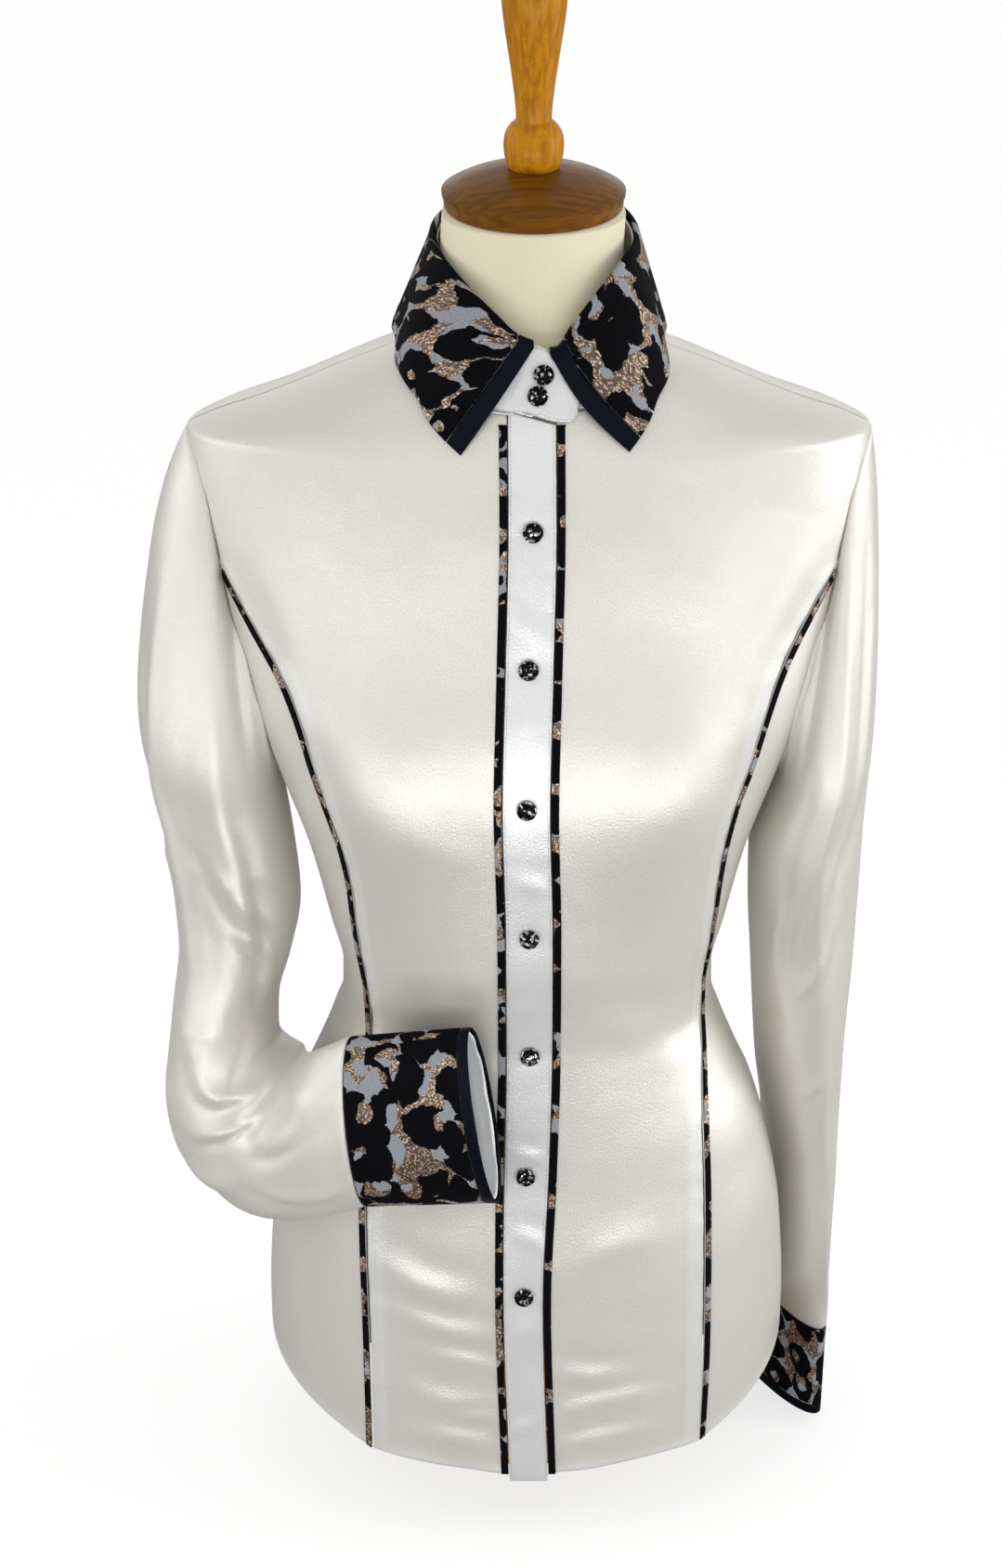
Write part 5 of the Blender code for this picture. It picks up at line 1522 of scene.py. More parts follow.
@dataclass(frozen=True)
class Arm:
    """One set-in sleeve with its cuff."""

    side: Side
    rings: Table
    wrist: Sequence[float]
    head_out: float
    folds: tuple[RingFold, ...]
    creases: tuple[Crease, ...]
    faced: bool
    sleeve_flat: Place
    sleeve_area: float
    fine: int = 6
    cap_rows: int = 34
    ring_rows: int = 150
    length: float = 0.56
    girth: float = 0.30
    edge_roll: float = 0.0007
    seam_reach: float = 0.012
    smoothing: int = 14
    front_lean: float = 0.45
    tuck: Place = (0.0011, 0.0014)
    binding_width: float = 0.0065
    facing_wall: float = 0.0010
    facing_inset: float = 0.0024
    facing_short: float = 0.0014
    facing_tuck: float = 0.0012
    # Lengthwise creases of the facing: angle, half width in degrees, depth
    facing_folds: Table = (
        (196, 7, -0.0010), (222, 6, -0.0013), (238, 5, 0.0006), (262, 8, -0.0012), (305, 9, -0.0010),
    )
    cuff_gap: float = 0.0007
    cuff_flat: Place = (0.225, 0.066)
    binding_flat: Place = (0.225, 0.0105)
    binding_area: float = 0.00146

    def angles(self) -> Array:
        """Angles round the sleeve that go with the armhole's places, shoulder point first."""
        front = np.linspace(0, math.pi, (DRAFT.under_steps + DRAFT.upper_steps) * self.fine + 1)
        back = np.linspace(math.pi, 2 * math.pi, DRAFT.back_arm_steps * self.fine + 1)
        return np.concatenate([front[:-1], back[:-1]])

    def ring_points(self, rows: Array, grow: Any = 0.0) -> Array:
        """Points of rings of the sleeve or cuff.

        Args:
            rows: The rings' sizes.
            grow: How much larger they are made.

        Returns:
            A grid of points, a row for each ring.
        """
        angles, side = self.angles()[None, :, None], self.side.value
        x, y, z, half_out, half_front = (rows[:, k, None, None] for k in range(5))
        bend, turn, dip = (np.radians(rows[:, k]) for k in (5, 6, 7))
        out = np.stack([side * np.cos(bend) * np.cos(turn), np.cos(bend) * np.sin(turn), -np.sin(bend)], -1)
        front = np.stack([side * np.sin(turn), -np.cos(turn), -np.tan(dip)], -1)
        centre = np.concatenate([side * x, y, z], -1)
        return (
            centre
            + (half_out + grow) * np.cos(angles) * out[:, None]
            + (half_front + grow) * np.sin(angles) * front[:, None]
        )

    def clear(self, points: Array, distance: Any) -> Array:
        """Points moved out from the torso's axis until they are clear of the shirt's body."""
        turn = np.degrees(np.arctan2(points[..., 0], -points[..., 1]))
        face = TORSO_FACE.face(turn, points[..., 2])
        reach = np.hypot(points[..., 0], points[..., 1])
        wanted = np.hypot(face[..., 0], face[..., 1]) + distance
        scale = np.maximum(wanted / reach, 1.0)
        return points * np.stack([scale, scale, np.ones(scale.shape)], -1)

    def outwards_right(self, grid: Array) -> Array:
        """A grid of rings from above down, as rows that run up and to the right as seen from outside."""
        return grid[::-1] if self.side is Side.RIGHT else grid[::-1, ::-1]

    def sleeve_grid(self) -> Array:
        """The sleeve's face from the armhole down to the cuff, with its folds."""
        side, angles = self.side.value, self.angles()
        arm_front = DRAFT.armhole_places(side, False, self.fine)[::-1]
        arm_back = DRAFT.armhole_places(side, True, self.fine)[1:-1]
        arm = np.concatenate([arm_front, arm_back])
        armhole = TORSO_FACE.point(arm[:, 0], arm[:, 1], GAP)
        rings = self.ring_points(smooth_rows(self.rings, self.ring_rows))
        share = np.linspace(0, 1, self.cap_rows + 1)[:-1, None]
        puff = self.head_out * np.sin(np.pi * share) ** 0.5
        outwards, forwards = side * np.maximum(0, np.cos(angles)), -self.front_lean * np.sin(angles)
        lean = np.stack([outwards, forwards, 0 * angles], -1)
        cap = armhole + (rings[0] - armhole) * share[..., None] + puff[..., None] * lean
        towards = unit(cap[1] - armhole)
        tucked = (TORSO_FACE.point(arm[:, 0], arm[:, 1], -self.tuck[0]) - self.tuck[1] * towards)[None]
        grid = np.concatenate([tucked, cap, rings])
        for _ in range(self.smoothing):
            grid[2:-1] = 0.25 * grid[1:-2] + 0.5 * grid[2:-1] + 0.25 * grid[3:]
        along = np.linspace(0, 1, len(grid))[:, None]
        middle = grid.mean(axis=1, keepdims=True)
        inward = unit(middle - grid)
        press = sum(fold.press(angles[None], along) for fold in self.folds)
        turned = np.degrees(angles)[None] / 360 * self.girth + 0 * along
        lift = creased(self.creases, turned, along * self.length + 0 * turned)
        ends = np.clip(along / 0.03, 0, 1) * np.clip((1 - along) / 0.02, 0, 1)
        grid = grid + inward * ((press - lift) * ends)[..., None]
        beyond = np.clip(run_lengths(grid[1:], 0)[:-1] / self.seam_reach, 0, 1)
        grid[1:-1] = self.clear(grid[1:-1], GAP + (SLEEVE_CLEAR - GAP) * beyond)
        return grid

    def sleeve(self) -> bpy.types.Object:
        """The sleeve as a piece."""
        grid = self.sleeve_grid()
        middle = grid.mean(axis=1, keepdims=True)
        drop = edge_rounding(grid, self.edge_roll, tube=True)
        grid = grid + unit(middle - grid) * drop[..., None]
        grid = self.outwards_right(grid)
        made = grid_object(f"arm_{self.side.label}", grid, flat_uv(grid, (4.0, 0.0), True), closed=True)
        thicken(made, WALL)
        dress(made, IVORY, f"sleeve_{self.side.label}")
        return made

    def cuff_rows(self, first: float, last: float, steps: int) -> Array:
        """Rings of the cuff between two shares of its length."""
        top, wrist = np.array(self.rings[-1]), np.array(self.wrist)
        stops = np.linspace(first, last, steps + 1)
        stops = with_fine_ends(np.stack([stops, stops], -1))[:, :1]
        return top + (wrist - top) * stops

    def facing_creases(self, rows: int) -> Array:
        """How far the facing lies inside the cuff, with its lengthwise creases and a fold near its end."""
        turned = np.degrees(self.angles())[None, :, None]
        folds = sum(depth * np.exp(-(((turned - at) / half) ** 2)) for at, half, depth in self.facing_folds)
        along = np.linspace(0, 1, rows)[:, None, None]
        return folds - self.facing_inset - self.facing_tuck * np.exp(-(((along - 0.80) / 0.03) ** 2))

    def tube(self, name: str, rows: Array, grow: Any, roll: float, start: Place) -> bpy.types.Object:
        """A closed tube of cloth through rings."""
        grid = self.ring_points(rows, grow)
        inward = unit(grid.mean(axis=1, keepdims=True) - grid)
        grid = self.outwards_right(grid + inward * edge_rounding(grid, roll, tube=True)[..., None])
        return grid_object(name, grid, flat_uv(grid, start, True), closed=True)

    def cuff(self) -> None:
        """The brocade cuff, its dark edge, and the white facing where it shows."""
        label, length = self.side.label, math.dist(self.rings[-1][:3], self.wrist[:3])
        start, edge = self.cuff_gap / length, 1 - self.binding_width / length
        rows = self.cuff_rows(start, edge - GAP / length, 24)
        made = self.tube(f"brocade_cuff_{label}", rows, 0.0, 0.0006, (5.0 + 0.31 * self.side.value, 0.0))
        thicken(made, WALL)
        dress(made, BROCADE, f"cuff_{label}")
        made = self.tube(f"cuff_edge_{label}", self.cuff_rows(edge, 1.0, 6), 0.0, 0.0009, (5.6, 0.0))
        thicken(made, WALL)
        dress(made, BLACK, f"cuff_binding_{label}")
        if self.faced:
            rows = self.cuff_rows(start, 1 - self.facing_short / length, 24)
            made = self.tube(f"cuff_lining_{label}", rows, self.facing_creases(len(rows)), 0.0004, (5.8, 0.0))
            thicken(made, self.facing_wall)
            dress(made, WHITE, f"cuff_facing_{label}")

    def cuff_place(self, share: float, angle: float, grow: float = 0.0) -> tuple[Array, Array]:
        """A point of the cuff's face and the way out of it."""
        top, wrist = np.array(self.rings[-1]), np.array(self.wrist)
        rows = np.stack([top + (wrist - top) * s for s in (share, share + 0.05)])
        k = int(np.argmin(np.abs(np.degrees(self.angles()) - angle)))
        grid = self.ring_points(rows, grow)
        ahead, along = grid[0, k + 1] - grid[0, k], grid[1, k] - grid[0, k]
        out = unit(np.cross(ahead, along))
        if np.dot(out, grid[0, k] - grid[0].mean(axis=0)) < 0:
            out = -out
        return grid[0, k], out

    def build(self) -> None:
        """Makes the sleeve and the cuff."""
        self.sleeve()
        self.cuff()


RIGHT_ARM = Arm(
    side=Side.RIGHT,
    rings=BENT_SLEEVE,
    wrist=BENT_WRIST,
    head_out=0.013,
    faced=True,
    sleeve_flat=(0.360, 0.600),
    sleeve_area=0.116,
    folds=(
        RingFold(70, 20, 0.0055, 0.04, 0.55),
        RingFold(14, 16, 0.0040, 0.06, 0.30),
        RingFold(20, 24, 0.0030, 0.30, 0.62),
        RingFold(118, 28, 0.0040, 0.30, 0.80),
        RingFold(300, 30, 0.0040, 0.10, 0.70),
        RingFold(150, 26, 0.0045, 0.62, 0.98),
        RingFold(60, 26, 0.0035, 0.70, 1.00),
        RingFold(38, 7, -0.0034, 0.06, 0.52, 44),
        RingFold(28, 8, 0.0020, 0.08, 0.50, 33),
        RingFold(96, 9, -0.0030, 0.10, 0.42, 108),
        RingFold(112, 9, 0.0030, 0.20, 0.48, 126),
    ),
    creases=(
        Crease((0.060, 0.330), (0.110, 0.395), 0.0072, 0.0026, 0.006, 0.6),
        Crease((0.052, 0.385), (0.095, 0.430), 0.0060, 0.0023, -0.004, 0.6),
        Crease((0.100, 0.350), (0.078, 0.455), 0.0070, -0.0020, 0.006, 0.4),
        Crease((0.118, 0.405), (0.100, 0.520), 0.0070, 0.0028, -0.006, 0.5),
        Crease((0.070, 0.440), (0.085, 0.530), 0.0070, -0.0022, 0.004, 0.0),
        Crease((0.052, 0.470), (0.040, 0.555), 0.0050, 0.0020, 0.004, 0.4),
        Crease((0.020, 0.400), (0.050, 0.450), 0.0090, 0.0026, 0.004, 0.4),
        Crease((0.070, 0.150), (0.110, 0.205), 0.0074, 0.0020, 0.008, 0.6),
        Crease((0.085, 0.205), (0.120, 0.290), 0.0065, 0.0022, -0.006, 0.5),
        Crease((0.010, 0.055), (0.034, 0.100), 0.0080, -0.0026, 0.004, 0.3),
        Crease((0.220, 0.340), (0.270, 0.400), 0.0090, 0.0028, 0.006, 0.5),
        Crease((0.210, 0.400), (0.262, 0.440), 0.0080, 0.0022, -0.004, 0.5),
    ),
)
LEFT_ARM = Arm(
    side=Side.LEFT,
    rings=HANGING_SLEEVE,
    wrist=HANGING_WRIST,
    head_out=0.005,
    faced=False,
    sleeve_flat=(0.340, 0.600),
    sleeve_area=0.112,
    folds=(
        RingFold(52, 18, 0.0045, 0.03, 0.60),
        RingFold(100, 26, 0.0036, 0.35, 0.98),
        RingFold(300, 30, 0.0035, 0.10, 0.85),
        RingFold(40, 8, 0.0026, 0.03, 0.36, 58),
        RingFold(74, 8, -0.0026, 0.04, 0.50, 88),
        RingFold(112, 9, 0.0026, 0.16, 0.50, 120),
    ),
    creases=(
        Crease((0.030, 0.070), (0.075, 0.190), 0.0070, 0.0022, 0.008, 0.6),
        Crease((0.088, 0.180), (0.112, 0.235), 0.0055, 0.0026, -0.005, 0.6),
        Crease((0.060, 0.215), (0.098, 0.262), 0.0060, 0.0024, 0.006, 0.5),
        Crease((0.040, 0.300), (0.075, 0.420), 0.0100, -0.0020, 0.006, 0.0),
        Crease((0.070, 0.330), (0.100, 0.350), 0.0050, 0.0014, 0.003, 0.5),
        Crease((0.070, 0.420), (0.060, 0.540), 0.0080, 0.0018, -0.004, 0.4),
        Crease((0.215, 0.260), (0.260, 0.330), 0.0100, 0.0020, 0.006, 0.5),
        Crease((0.205, 0.380), (0.250, 0.440), 0.0090, 0.0016, -0.004, 0.5),
    ),
)


# ---------------------------------------------------------------- collar
@dataclass(frozen=True)
class Collar:
    """Stand with its rounded end, turned-down leaves, and their dark front edges."""

    fold_centre: Place = (0.0030, 0.0035)
    fold_half: Place = (0.0525, 0.0595)
    under_fold: float = 0.0010
    overlap_out: float = 0.0030
    overlap_from: float = 295.0
    overlap_full: float = 345.0
    under_end: float = -7.0
    leaf_start: Place = (0.8, 7.5)
    binding_share: float = 0.046
    belly: Place = (0.0, 0.0045)
    fold_line: tuple[Place, ...] = ((-0.0004, 0.0022), (0.0020, 0.0018), (0.0036, -0.0008))
    over_tab: float = 0.0024
    over_tab_turn: float = 48.0
    leaf_clear: float = 0.0016
    leaf_columns: int = 110
    fall_steps: int = 26
    stand_flat: Place = (0.400, 0.040)
    leaf_flat: Place = (0.450, 0.085)
    leaf_area: float = 0.0225
    binding_flat: Place = (0.0125, 0.090)
    binding_area: float = 0.00078
    binding_seam: float = 0.0016
    leaf_roll: float = 0.0009
    stand_roll: float = 0.0007
    stitch_inset: float = 0.0045
    stand_area: float = 0.0135
    # Puckers of the tab beside the leaf: across is the turn over 1000, along the rise
    puckers: tuple[Crease, ...] = (
        Crease((0.3500, 0.15), (0.3560, 0.55), 0.0012, 0.0005, 0.0, 0.6),
        Crease((0.3530, 0.05), (0.3600, 0.30), 0.0010, 0.0004, 0.0, 0.6),
    )

    def overlap(self, turn: Any) -> Array:
        """How far the stand lies out of its own oval, from the under end (0) round to the tab (360 on)."""
        beyond = np.asarray(turn, float) - self.overlap_from
        share = np.clip(beyond / (self.overlap_full - self.overlap_from), 0, 1)
        return self.overlap_out * share * share * (3 - 2 * share)

    def fold_height(self, turn: Any) -> Array:
        """Height of the stand's top."""
        away = from_front(turn)
        return np.where(np.asarray(turn) < 180, Curve(FOLD, 2)(away), Curve(FOLD, 1)(away))

    def fold_point(self, turn: Any) -> Array:
        """Top edge of the stand."""
        angle, reach = np.radians(turn), self.overlap(turn)
        x = self.fold_centre[0] + (self.fold_half[0] + reach) * np.sin(angle)
        y = self.fold_centre[1] - (self.fold_half[1] + reach) * np.cos(angle)
        return np.stack([x, y, self.fold_height(turn)], -1)

    def seam_point(self, turn: Any) -> Array:
        """The stand's foot on the neck seam."""
        return TORSO_FACE.point(turn, TORSO_FACE.neck(from_front(turn)), self.overlap(turn))

    def stand_point(self, turn: Any, rise: Any) -> Array:
        """Outer face of the stand.

        Args:
            turn: Degrees from centre front, up to the tab's end past 360.
            rise: 0 at the neck seam to 1 at the top.

        Returns:
            Points, one for each place.
        """
        turn, rise = np.broadcast_arrays(np.asarray(turn, float), np.asarray(rise, float))
        low = TORSO_FACE.neck(from_front(turn)) + GAP
        low = np.where(turn <= self.under_end, TAB[0][1], low)
        high = self.fold_height(turn) - self.under_fold
        tab = turn >= TAB[0][0]
        low = np.where(tab, Curve(TAB, 1)(turn), low)
        high = np.where(tab, Curve(TAB, 2)(turn), high)
        seam, top = self.seam_point(turn), self.fold_point(turn)
        height = low + (high - low) * rise
        share = (height - seam[..., 2]) / (top[..., 2] - seam[..., 2])
        below = TORSO_FACE.point(turn, height, self.overlap(turn))
        return np.where(share[..., None] < 0, below, seam + (top - seam) * share[..., None])

    def grid_out(self, grid: Array) -> Array:
        """Unit vectors out of a grid's face, which runs up and to the right."""
        along = np.gradient(grid, axis=1)
        up = np.gradient(grid, axis=0)
        return unit(np.cross(along, up))

    def stand(self) -> bpy.types.Object:
        """The stand round the neck."""
        turns = np.concatenate([
            np.linspace(self.under_end, 350, 190)[:-1],
            np.linspace(350, TAB[-2][0], 40)[:-1],
            np.linspace(TAB[-2][0], TAB[-1][0], 6),
        ])
        rises = np.array([0, 0.03, 0.08, *np.linspace(0.15, 0.85, 9), 0.92, 0.97, 1.0])
        grid = self.stand_point(turns[None], rises[:, None])
        across, along = np.broadcast_arrays(turns[None] / 1000, rises[:, None])
        lift = creased(self.puckers, across, along)
        grid = grid + self.grid_out(grid) * (lift - edge_rounding(grid, self.stand_roll))[..., None]
        made = grid_object("stand_of_collar", grid, flat_uv(grid, (6.4, 0.0)))
        thicken(made, WALL)
        dress(made, WHITE, "collar_stand")
        return made

    def clear_of_stand(self, points: Array, distance: float) -> Array:
        """Points moved out from the neck until they are clear of the stand's outer face."""
        turn = np.degrees(np.arctan2(points[..., 0], -points[..., 1])) % 360
        turn = np.where(turn < TAB[-1][0] - 360, turn + 360, turn)
        seam, top = self.seam_point(turn), self.fold_point(turn)
        share = (points[..., 2] - seam[..., 2]) / (top[..., 2] - seam[..., 2])
        face = seam + (top - seam) * share[..., None]
        reach = np.hypot(points[..., 0], points[..., 1])
        wanted = np.hypot(face[..., 0], face[..., 1]) + distance
        scale = np.where((share > 0) & (share < 1), np.maximum(wanted / reach, 1.0), 1.0)
        return points * np.stack([scale, scale, np.ones(scale.shape)], -1)

    def leaf_grid(self, side: Side, shares: Array) -> Array:
        """Half of the leaf.

        Args:
            side: Which half.
            shares: Shares of its length, 0 at the front edge and 1 at centre back.

        Returns:
            Points with a row for each share, from inside the fold to the outer edge.
        """
        s, index = side.value, 0 if side is Side.RIGHT else 1
        table = LEAF_EDGE_RIGHT if side is Side.RIGHT else LEAF_EDGE_LEFT
        turn = self.leaf_start[index] + (180 - self.leaf_start[index]) * shares
        turn = 360 - turn if side is Side.RIGHT else turn
        raised = self.over_tab * np.maximum(0.0, 1 - turn / self.over_tab_turn)
        base = self.fold_point(turn)
        away = np.stack([np.sin(np.radians(turn)), -np.cos(np.radians(turn)), 0 * turn], -1)
        at = np.linspace(0, len(table) - 1, 12 * len(table))
        line = TORSO_FACE.point(s * by_row(table, 0)(at), by_row(table, 1)(at), by_row(table, 2)(at))
        run = line_run(line)
        edge = np.stack([np.interp(shares * run[-1], run, line[:, k]) for k in range(3)], -1)
        columns = []
        for t in np.linspace(0, 1, 9):
            first, second, third = ((1 - t) * (1 - 2 * t), 4 * t * (1 - t), t * (2 * t - 1))
            out = sum(w * p[0] for w, p in zip((first, second, third), self.fold_line))
            rise = sum(w * p[1] for w, p in zip((first, second, third), self.fold_line))
            lifted = out + raised * min(1.0, 2 * t)
            columns.append(base + lifted[:, None] * away + np.array([0, 0, rise]))
        crest = columns.pop()
        roll = Curve(LEAF_ROLL, 1)(from_front(turn))
        for fall in np.concatenate([np.linspace(0, 0.97, self.fall_steps), [0.985, 0.995, 1.0]]):
            point = crest + (edge - crest) * fall + (roll * math.sin(math.pi * fall))[:, None] * away
            belly = self.belly[index] * math.sin(math.pi * fall) * np.maximum(0.0, 1 - shares / 0.2)
            point[:, 0] -= s * belly
            columns.append(self.clear_of_stand(point, LEAF_WALL + self.leaf_clear))
        return np.stack(columns, 1)

    def outwards(self, columns: Array) -> Array:
        """Columns that run clockwise seen from above, as rows that run up and to the right."""
        return np.swapaxes(columns, 0, 1)[::-1, ::-1]

    def leaves(self) -> None:
        """The brocade leaves in one piece, and the dark satin on their front edges."""
        inner = np.linspace(self.binding_share + self.binding_seam, 1, self.leaf_columns)
        shares = np.concatenate([inner[:1], inner[:1] + [0.0008, 0.002, 0.004], inner[1:]])
        right, left = self.leaf_grid(Side.RIGHT, shares), self.leaf_grid(Side.LEFT, shares[:-1])
        grid = self.outwards(np.concatenate([right, left[::-1]]))
        grid = grid - self.grid_out(grid) * edge_rounding(grid, self.leaf_roll)[..., None]
        made = grid_object("collar_leaves", grid, flat_uv(grid, (7.0, 0.0)))
        thicken(made, LEAF_WALL)
        dress(made, BROCADE, "collar_leaf")
        shares = np.array([0, 0.001, 0.003, *np.linspace(0.006, self.binding_share, 12)])
        for side in Side:
            columns = self.leaf_grid(side, shares)
            if side is Side.LEFT:
                columns = columns[::-1]
            grid = self.outwards(columns)
            grid = grid - self.grid_out(grid) * edge_rounding(grid, self.leaf_roll)[..., None]
            made = grid_object(f"collar_edge_{side.label}", grid, flat_uv(grid, (7.6, 0.0)))
            thicken(made, LEAF_WALL)
            dress(made, BLACK, f"collar_binding_{side.label}")

    def stitches(self) -> None:
        """Black topstitching inside the leaves' edges and white stitching along both edges of the stand's
        rounded end.
        """
        rows = []
        for side in Side:
            shares = np.linspace(self.binding_share + 0.006, 1, 120)
            grid = self.leaf_grid(side, shares)
            out = self.grid_out(self.outwards(grid if side is Side.RIGHT else grid[::-1]))
            out = out[::-1, ::-1] if side is Side.RIGHT else out[::-1]
            out = np.swapaxes(out, 0, 1)
            run = run_lengths(grid, 1)
            back = run[:, -1:] - run
            near = np.argmin(np.abs(back - self.stitch_inset), axis=1)
            pick = np.arange(len(shares))
            rows.append((grid[pick, near], out[pick, near]))
        THREAD.sew("collar_stitching", rows, BLACK)
        turns = np.linspace(352, TAB[-1][0], 60)
        low = self.stand_point(turns, 0.045 + 0 * turns)
        high = self.stand_point(turns, 0.955 + 0 * turns)
        out = self.grid_out(np.stack([low, high]))
        THREAD.sew("stand_stitching", [(low[:-3], out[0][:-3]), (high[:-3], out[1][:-3])], WHITE)

    def build(self) -> None:
        """Makes the stand, the leaves and the stitches."""
        self.stand()
        self.leaves()
        self.stitches()


# ---------------------------------------------------------------- turned pieces
def lathe(name: str, profile: Sequence[Place], sides: int, smooth: float = 40.0) -> bpy.types.Object:
    """A turned solid, extruded ring by ring from its foot.

    Args:
        name: The object's name.
        profile: Radius and height of each ring, from the foot up.
        sides: Corners of a ring.
        smooth: Faces that meet at less than this many degrees are shaded smooth.

    Returns:
        The object, its axis on Z.
    """
    bpy.ops.object.select_all(action="DESELECT")
    radius, height = profile[0]
    foot = (0, 0, height)
    bpy.ops.mesh.primitive_circle_add(vertices=sides, radius=radius, fill_type="NGON", location=foot)
    made = bpy.context.object
    made.name = name
    bpy.ops.object.transform_apply(location=True, rotation=True, scale=True)
    bpy.ops.object.mode_set(mode="EDIT")
    bpy.ops.mesh.select_all(action="SELECT")
    for (last_radius, last_height), (radius, height) in zip(profile, profile[1:]):
        move = {"value": (0, 0, height - last_height)}
        bpy.ops.mesh.extrude_region_move(TRANSFORM_OT_translate=move)
        grow = radius / last_radius
        bpy.ops.transform.resize(value=(grow, grow, 1.0))
    bpy.ops.mesh.select_all(action="SELECT")
    bpy.ops.mesh.normals_make_consistent(inside=False)
    bpy.ops.object.mode_set(mode="OBJECT")
    bpy.ops.object.shade_smooth_by_angle(angle=math.radians(smooth))
    made.data.name = name
    return made


def rounded(profile: Sequence[Place], rounds: int = 2) -> list[Place]:
    """A profile with its corners cut so that it runs smoothly."""
    points = [np.array(point, float) for point in profile]
    for _ in range(rounds):
        cut = [points[0]]
        for a, b in zip(points, points[1:]):
            cut += [a * 0.75 + b * 0.25, a * 0.25 + b * 0.75]
        points = [*cut, points[-1]]
    return [(float(point[0]), float(point[1])) for point in points]


def stand_on(made: bpy.types.Object, place: Array, out: Array) -> None:
    """Puts a turned piece at a place of the torso frame, its axis along a direction, into its mesh."""
    turn = Vector([float(v) for v in out]).to_track_quat("Z", "Y").to_matrix().to_4x4()
    made.data.transform(Matrix.Translation(Vector([float(v) for v in torso_frame(place)])) @ turn)


@dataclass(frozen=True)
class Snaps:
    """Domed caps of the ring snaps, with a rolled rim and a ringed face."""

    radius: float = 0.00545
    height: float = 0.0030
    lift: float = 0.0006
    sides: int = 40
    beads: int = 14
    bead_size: float = 0.085
    bead_ring: float = 0.80
    cuff_angle: float = 262.0
    # Rings of the cap from its foot up, as shares of its radius and height: rim, groove, dome, centre
    rings: tuple[Place, ...] = (
        (0.90, 0.0), (0.985, 0.10), (1.0, 0.28), (0.985, 0.46), (0.93, 0.60),
        (0.86, 0.64), (0.82, 0.56), (0.79, 0.52), (0.76, 0.58),
        (0.70, 0.74), (0.58, 0.86), (0.48, 0.92), (0.45, 0.86),
        (0.40, 0.84), (0.36, 0.93), (0.24, 0.98), (0.10, 1.0),
    )

    def cap(self) -> bpy.types.Object:
        """One cap with its axis on Z, the foot at 0."""
        profile = [(self.radius * out, self.height * up) for out, up in self.rings]
        return lathe("snap_cap", profile, self.sides, 32.0)

    def bead(self) -> bpy.types.Object:
        """One bead of the ring round the face."""
        bpy.ops.object.select_all(action="DESELECT")
        bpy.ops.mesh.primitive_ico_sphere_add(subdivisions=2, radius=self.radius * self.bead_size)
        made = bpy.context.object
        made.name = "snap_bead"
        bpy.ops.object.mode_set(mode="EDIT")
        bpy.ops.mesh.select_all(action="SELECT")
        bpy.ops.transform.resize(value=(0.8, 1.0, 0.6))
        bpy.ops.object.mode_set(mode="OBJECT")
        bpy.ops.object.shade_smooth()
        return made

    def pattern(self) -> bpy.types.Object:
        """The cap with its beads, joined."""
        cap, bead = self.cap(), self.bead()
        parts = [cap]
        for k in range(self.beads):
            angle = 2 * math.pi * k / self.beads
            copy = bead.copy()
            copy.data = bead.data.copy()
            bpy.context.scene.collection.objects.link(copy)
            reach = self.radius * self.bead_ring
            place = Matrix.Translation((reach * math.cos(angle), reach * math.sin(angle), self.height * 0.60))
            copy.data.transform(place @ Matrix.Rotation(angle, 4, "Z"))
            parts.append(copy)
        bpy.data.objects.remove(bead)
        bpy.ops.object.select_all(action="DESELECT")
        for part in parts:
            part.select_set(True)
        bpy.context.view_layer.objects.active = cap
        bpy.ops.object.join()
        return cap

    def place(self, pattern: bpy.types.Object, name: str, node: str, face: Array, out: Array) -> None:
        """A copy of the cap just off the cloth.

        Args:
            pattern: The cap to copy.
            name: The copy's name.
            node: The node that it stands for.
            face: Point of the cloth under its middle.
            out: Unit vector out of the cloth.
        """
        made = pattern.copy()
        made.data = pattern.data.copy()
        made.name = made.data.name = name
        bpy.context.scene.collection.objects.link(made)
        stand_on(made, face + self.lift * out, out)
        dress(made, GUNMETAL, node)

    def build(self, collar: Collar, arms: Sequence[Arm]) -> None:
        """Puts the snaps on the placket, the stand and the cuffs."""
        pattern = self.pattern()
        for k, (height, shift) in enumerate(SNAPS, 1):
            turn = TORSO_FACE.turn_at(Curve(PLACKET, 1)(height) + shift, height)
            face = TORSO_FACE.point(turn, height, BAND_WALL / 2)
            self.place(pattern, f"snap_{k}", f"placket_snap_{k}", face, TORSO_FACE.out(turn, height))
        for label, (turn, rise) in zip(("upper", "lower"), STAND_SNAPS):
            turn += 360
            face = collar.stand_point(turn, rise)
            across = collar.stand_point(turn + 1, rise) - collar.stand_point(turn - 1, rise)
            up = collar.stand_point(turn, rise + 0.05) - collar.stand_point(turn, rise - 0.05)
            self.place(pattern, f"neck_snap_{label}", f"stand_snap_{label}", face, unit(np.cross(across, up)))
        for arm in arms:
            for k, share in enumerate(CUFF_SNAPS, 1):
                face, out = arm.cuff_place(share, self.cuff_angle)
                label = arm.side.label
                self.place(pattern, f"wrist_snap_{label}_{k}", f"cuff_snap_{label}_{k}", face, out)
        bpy.data.objects.remove(pattern)


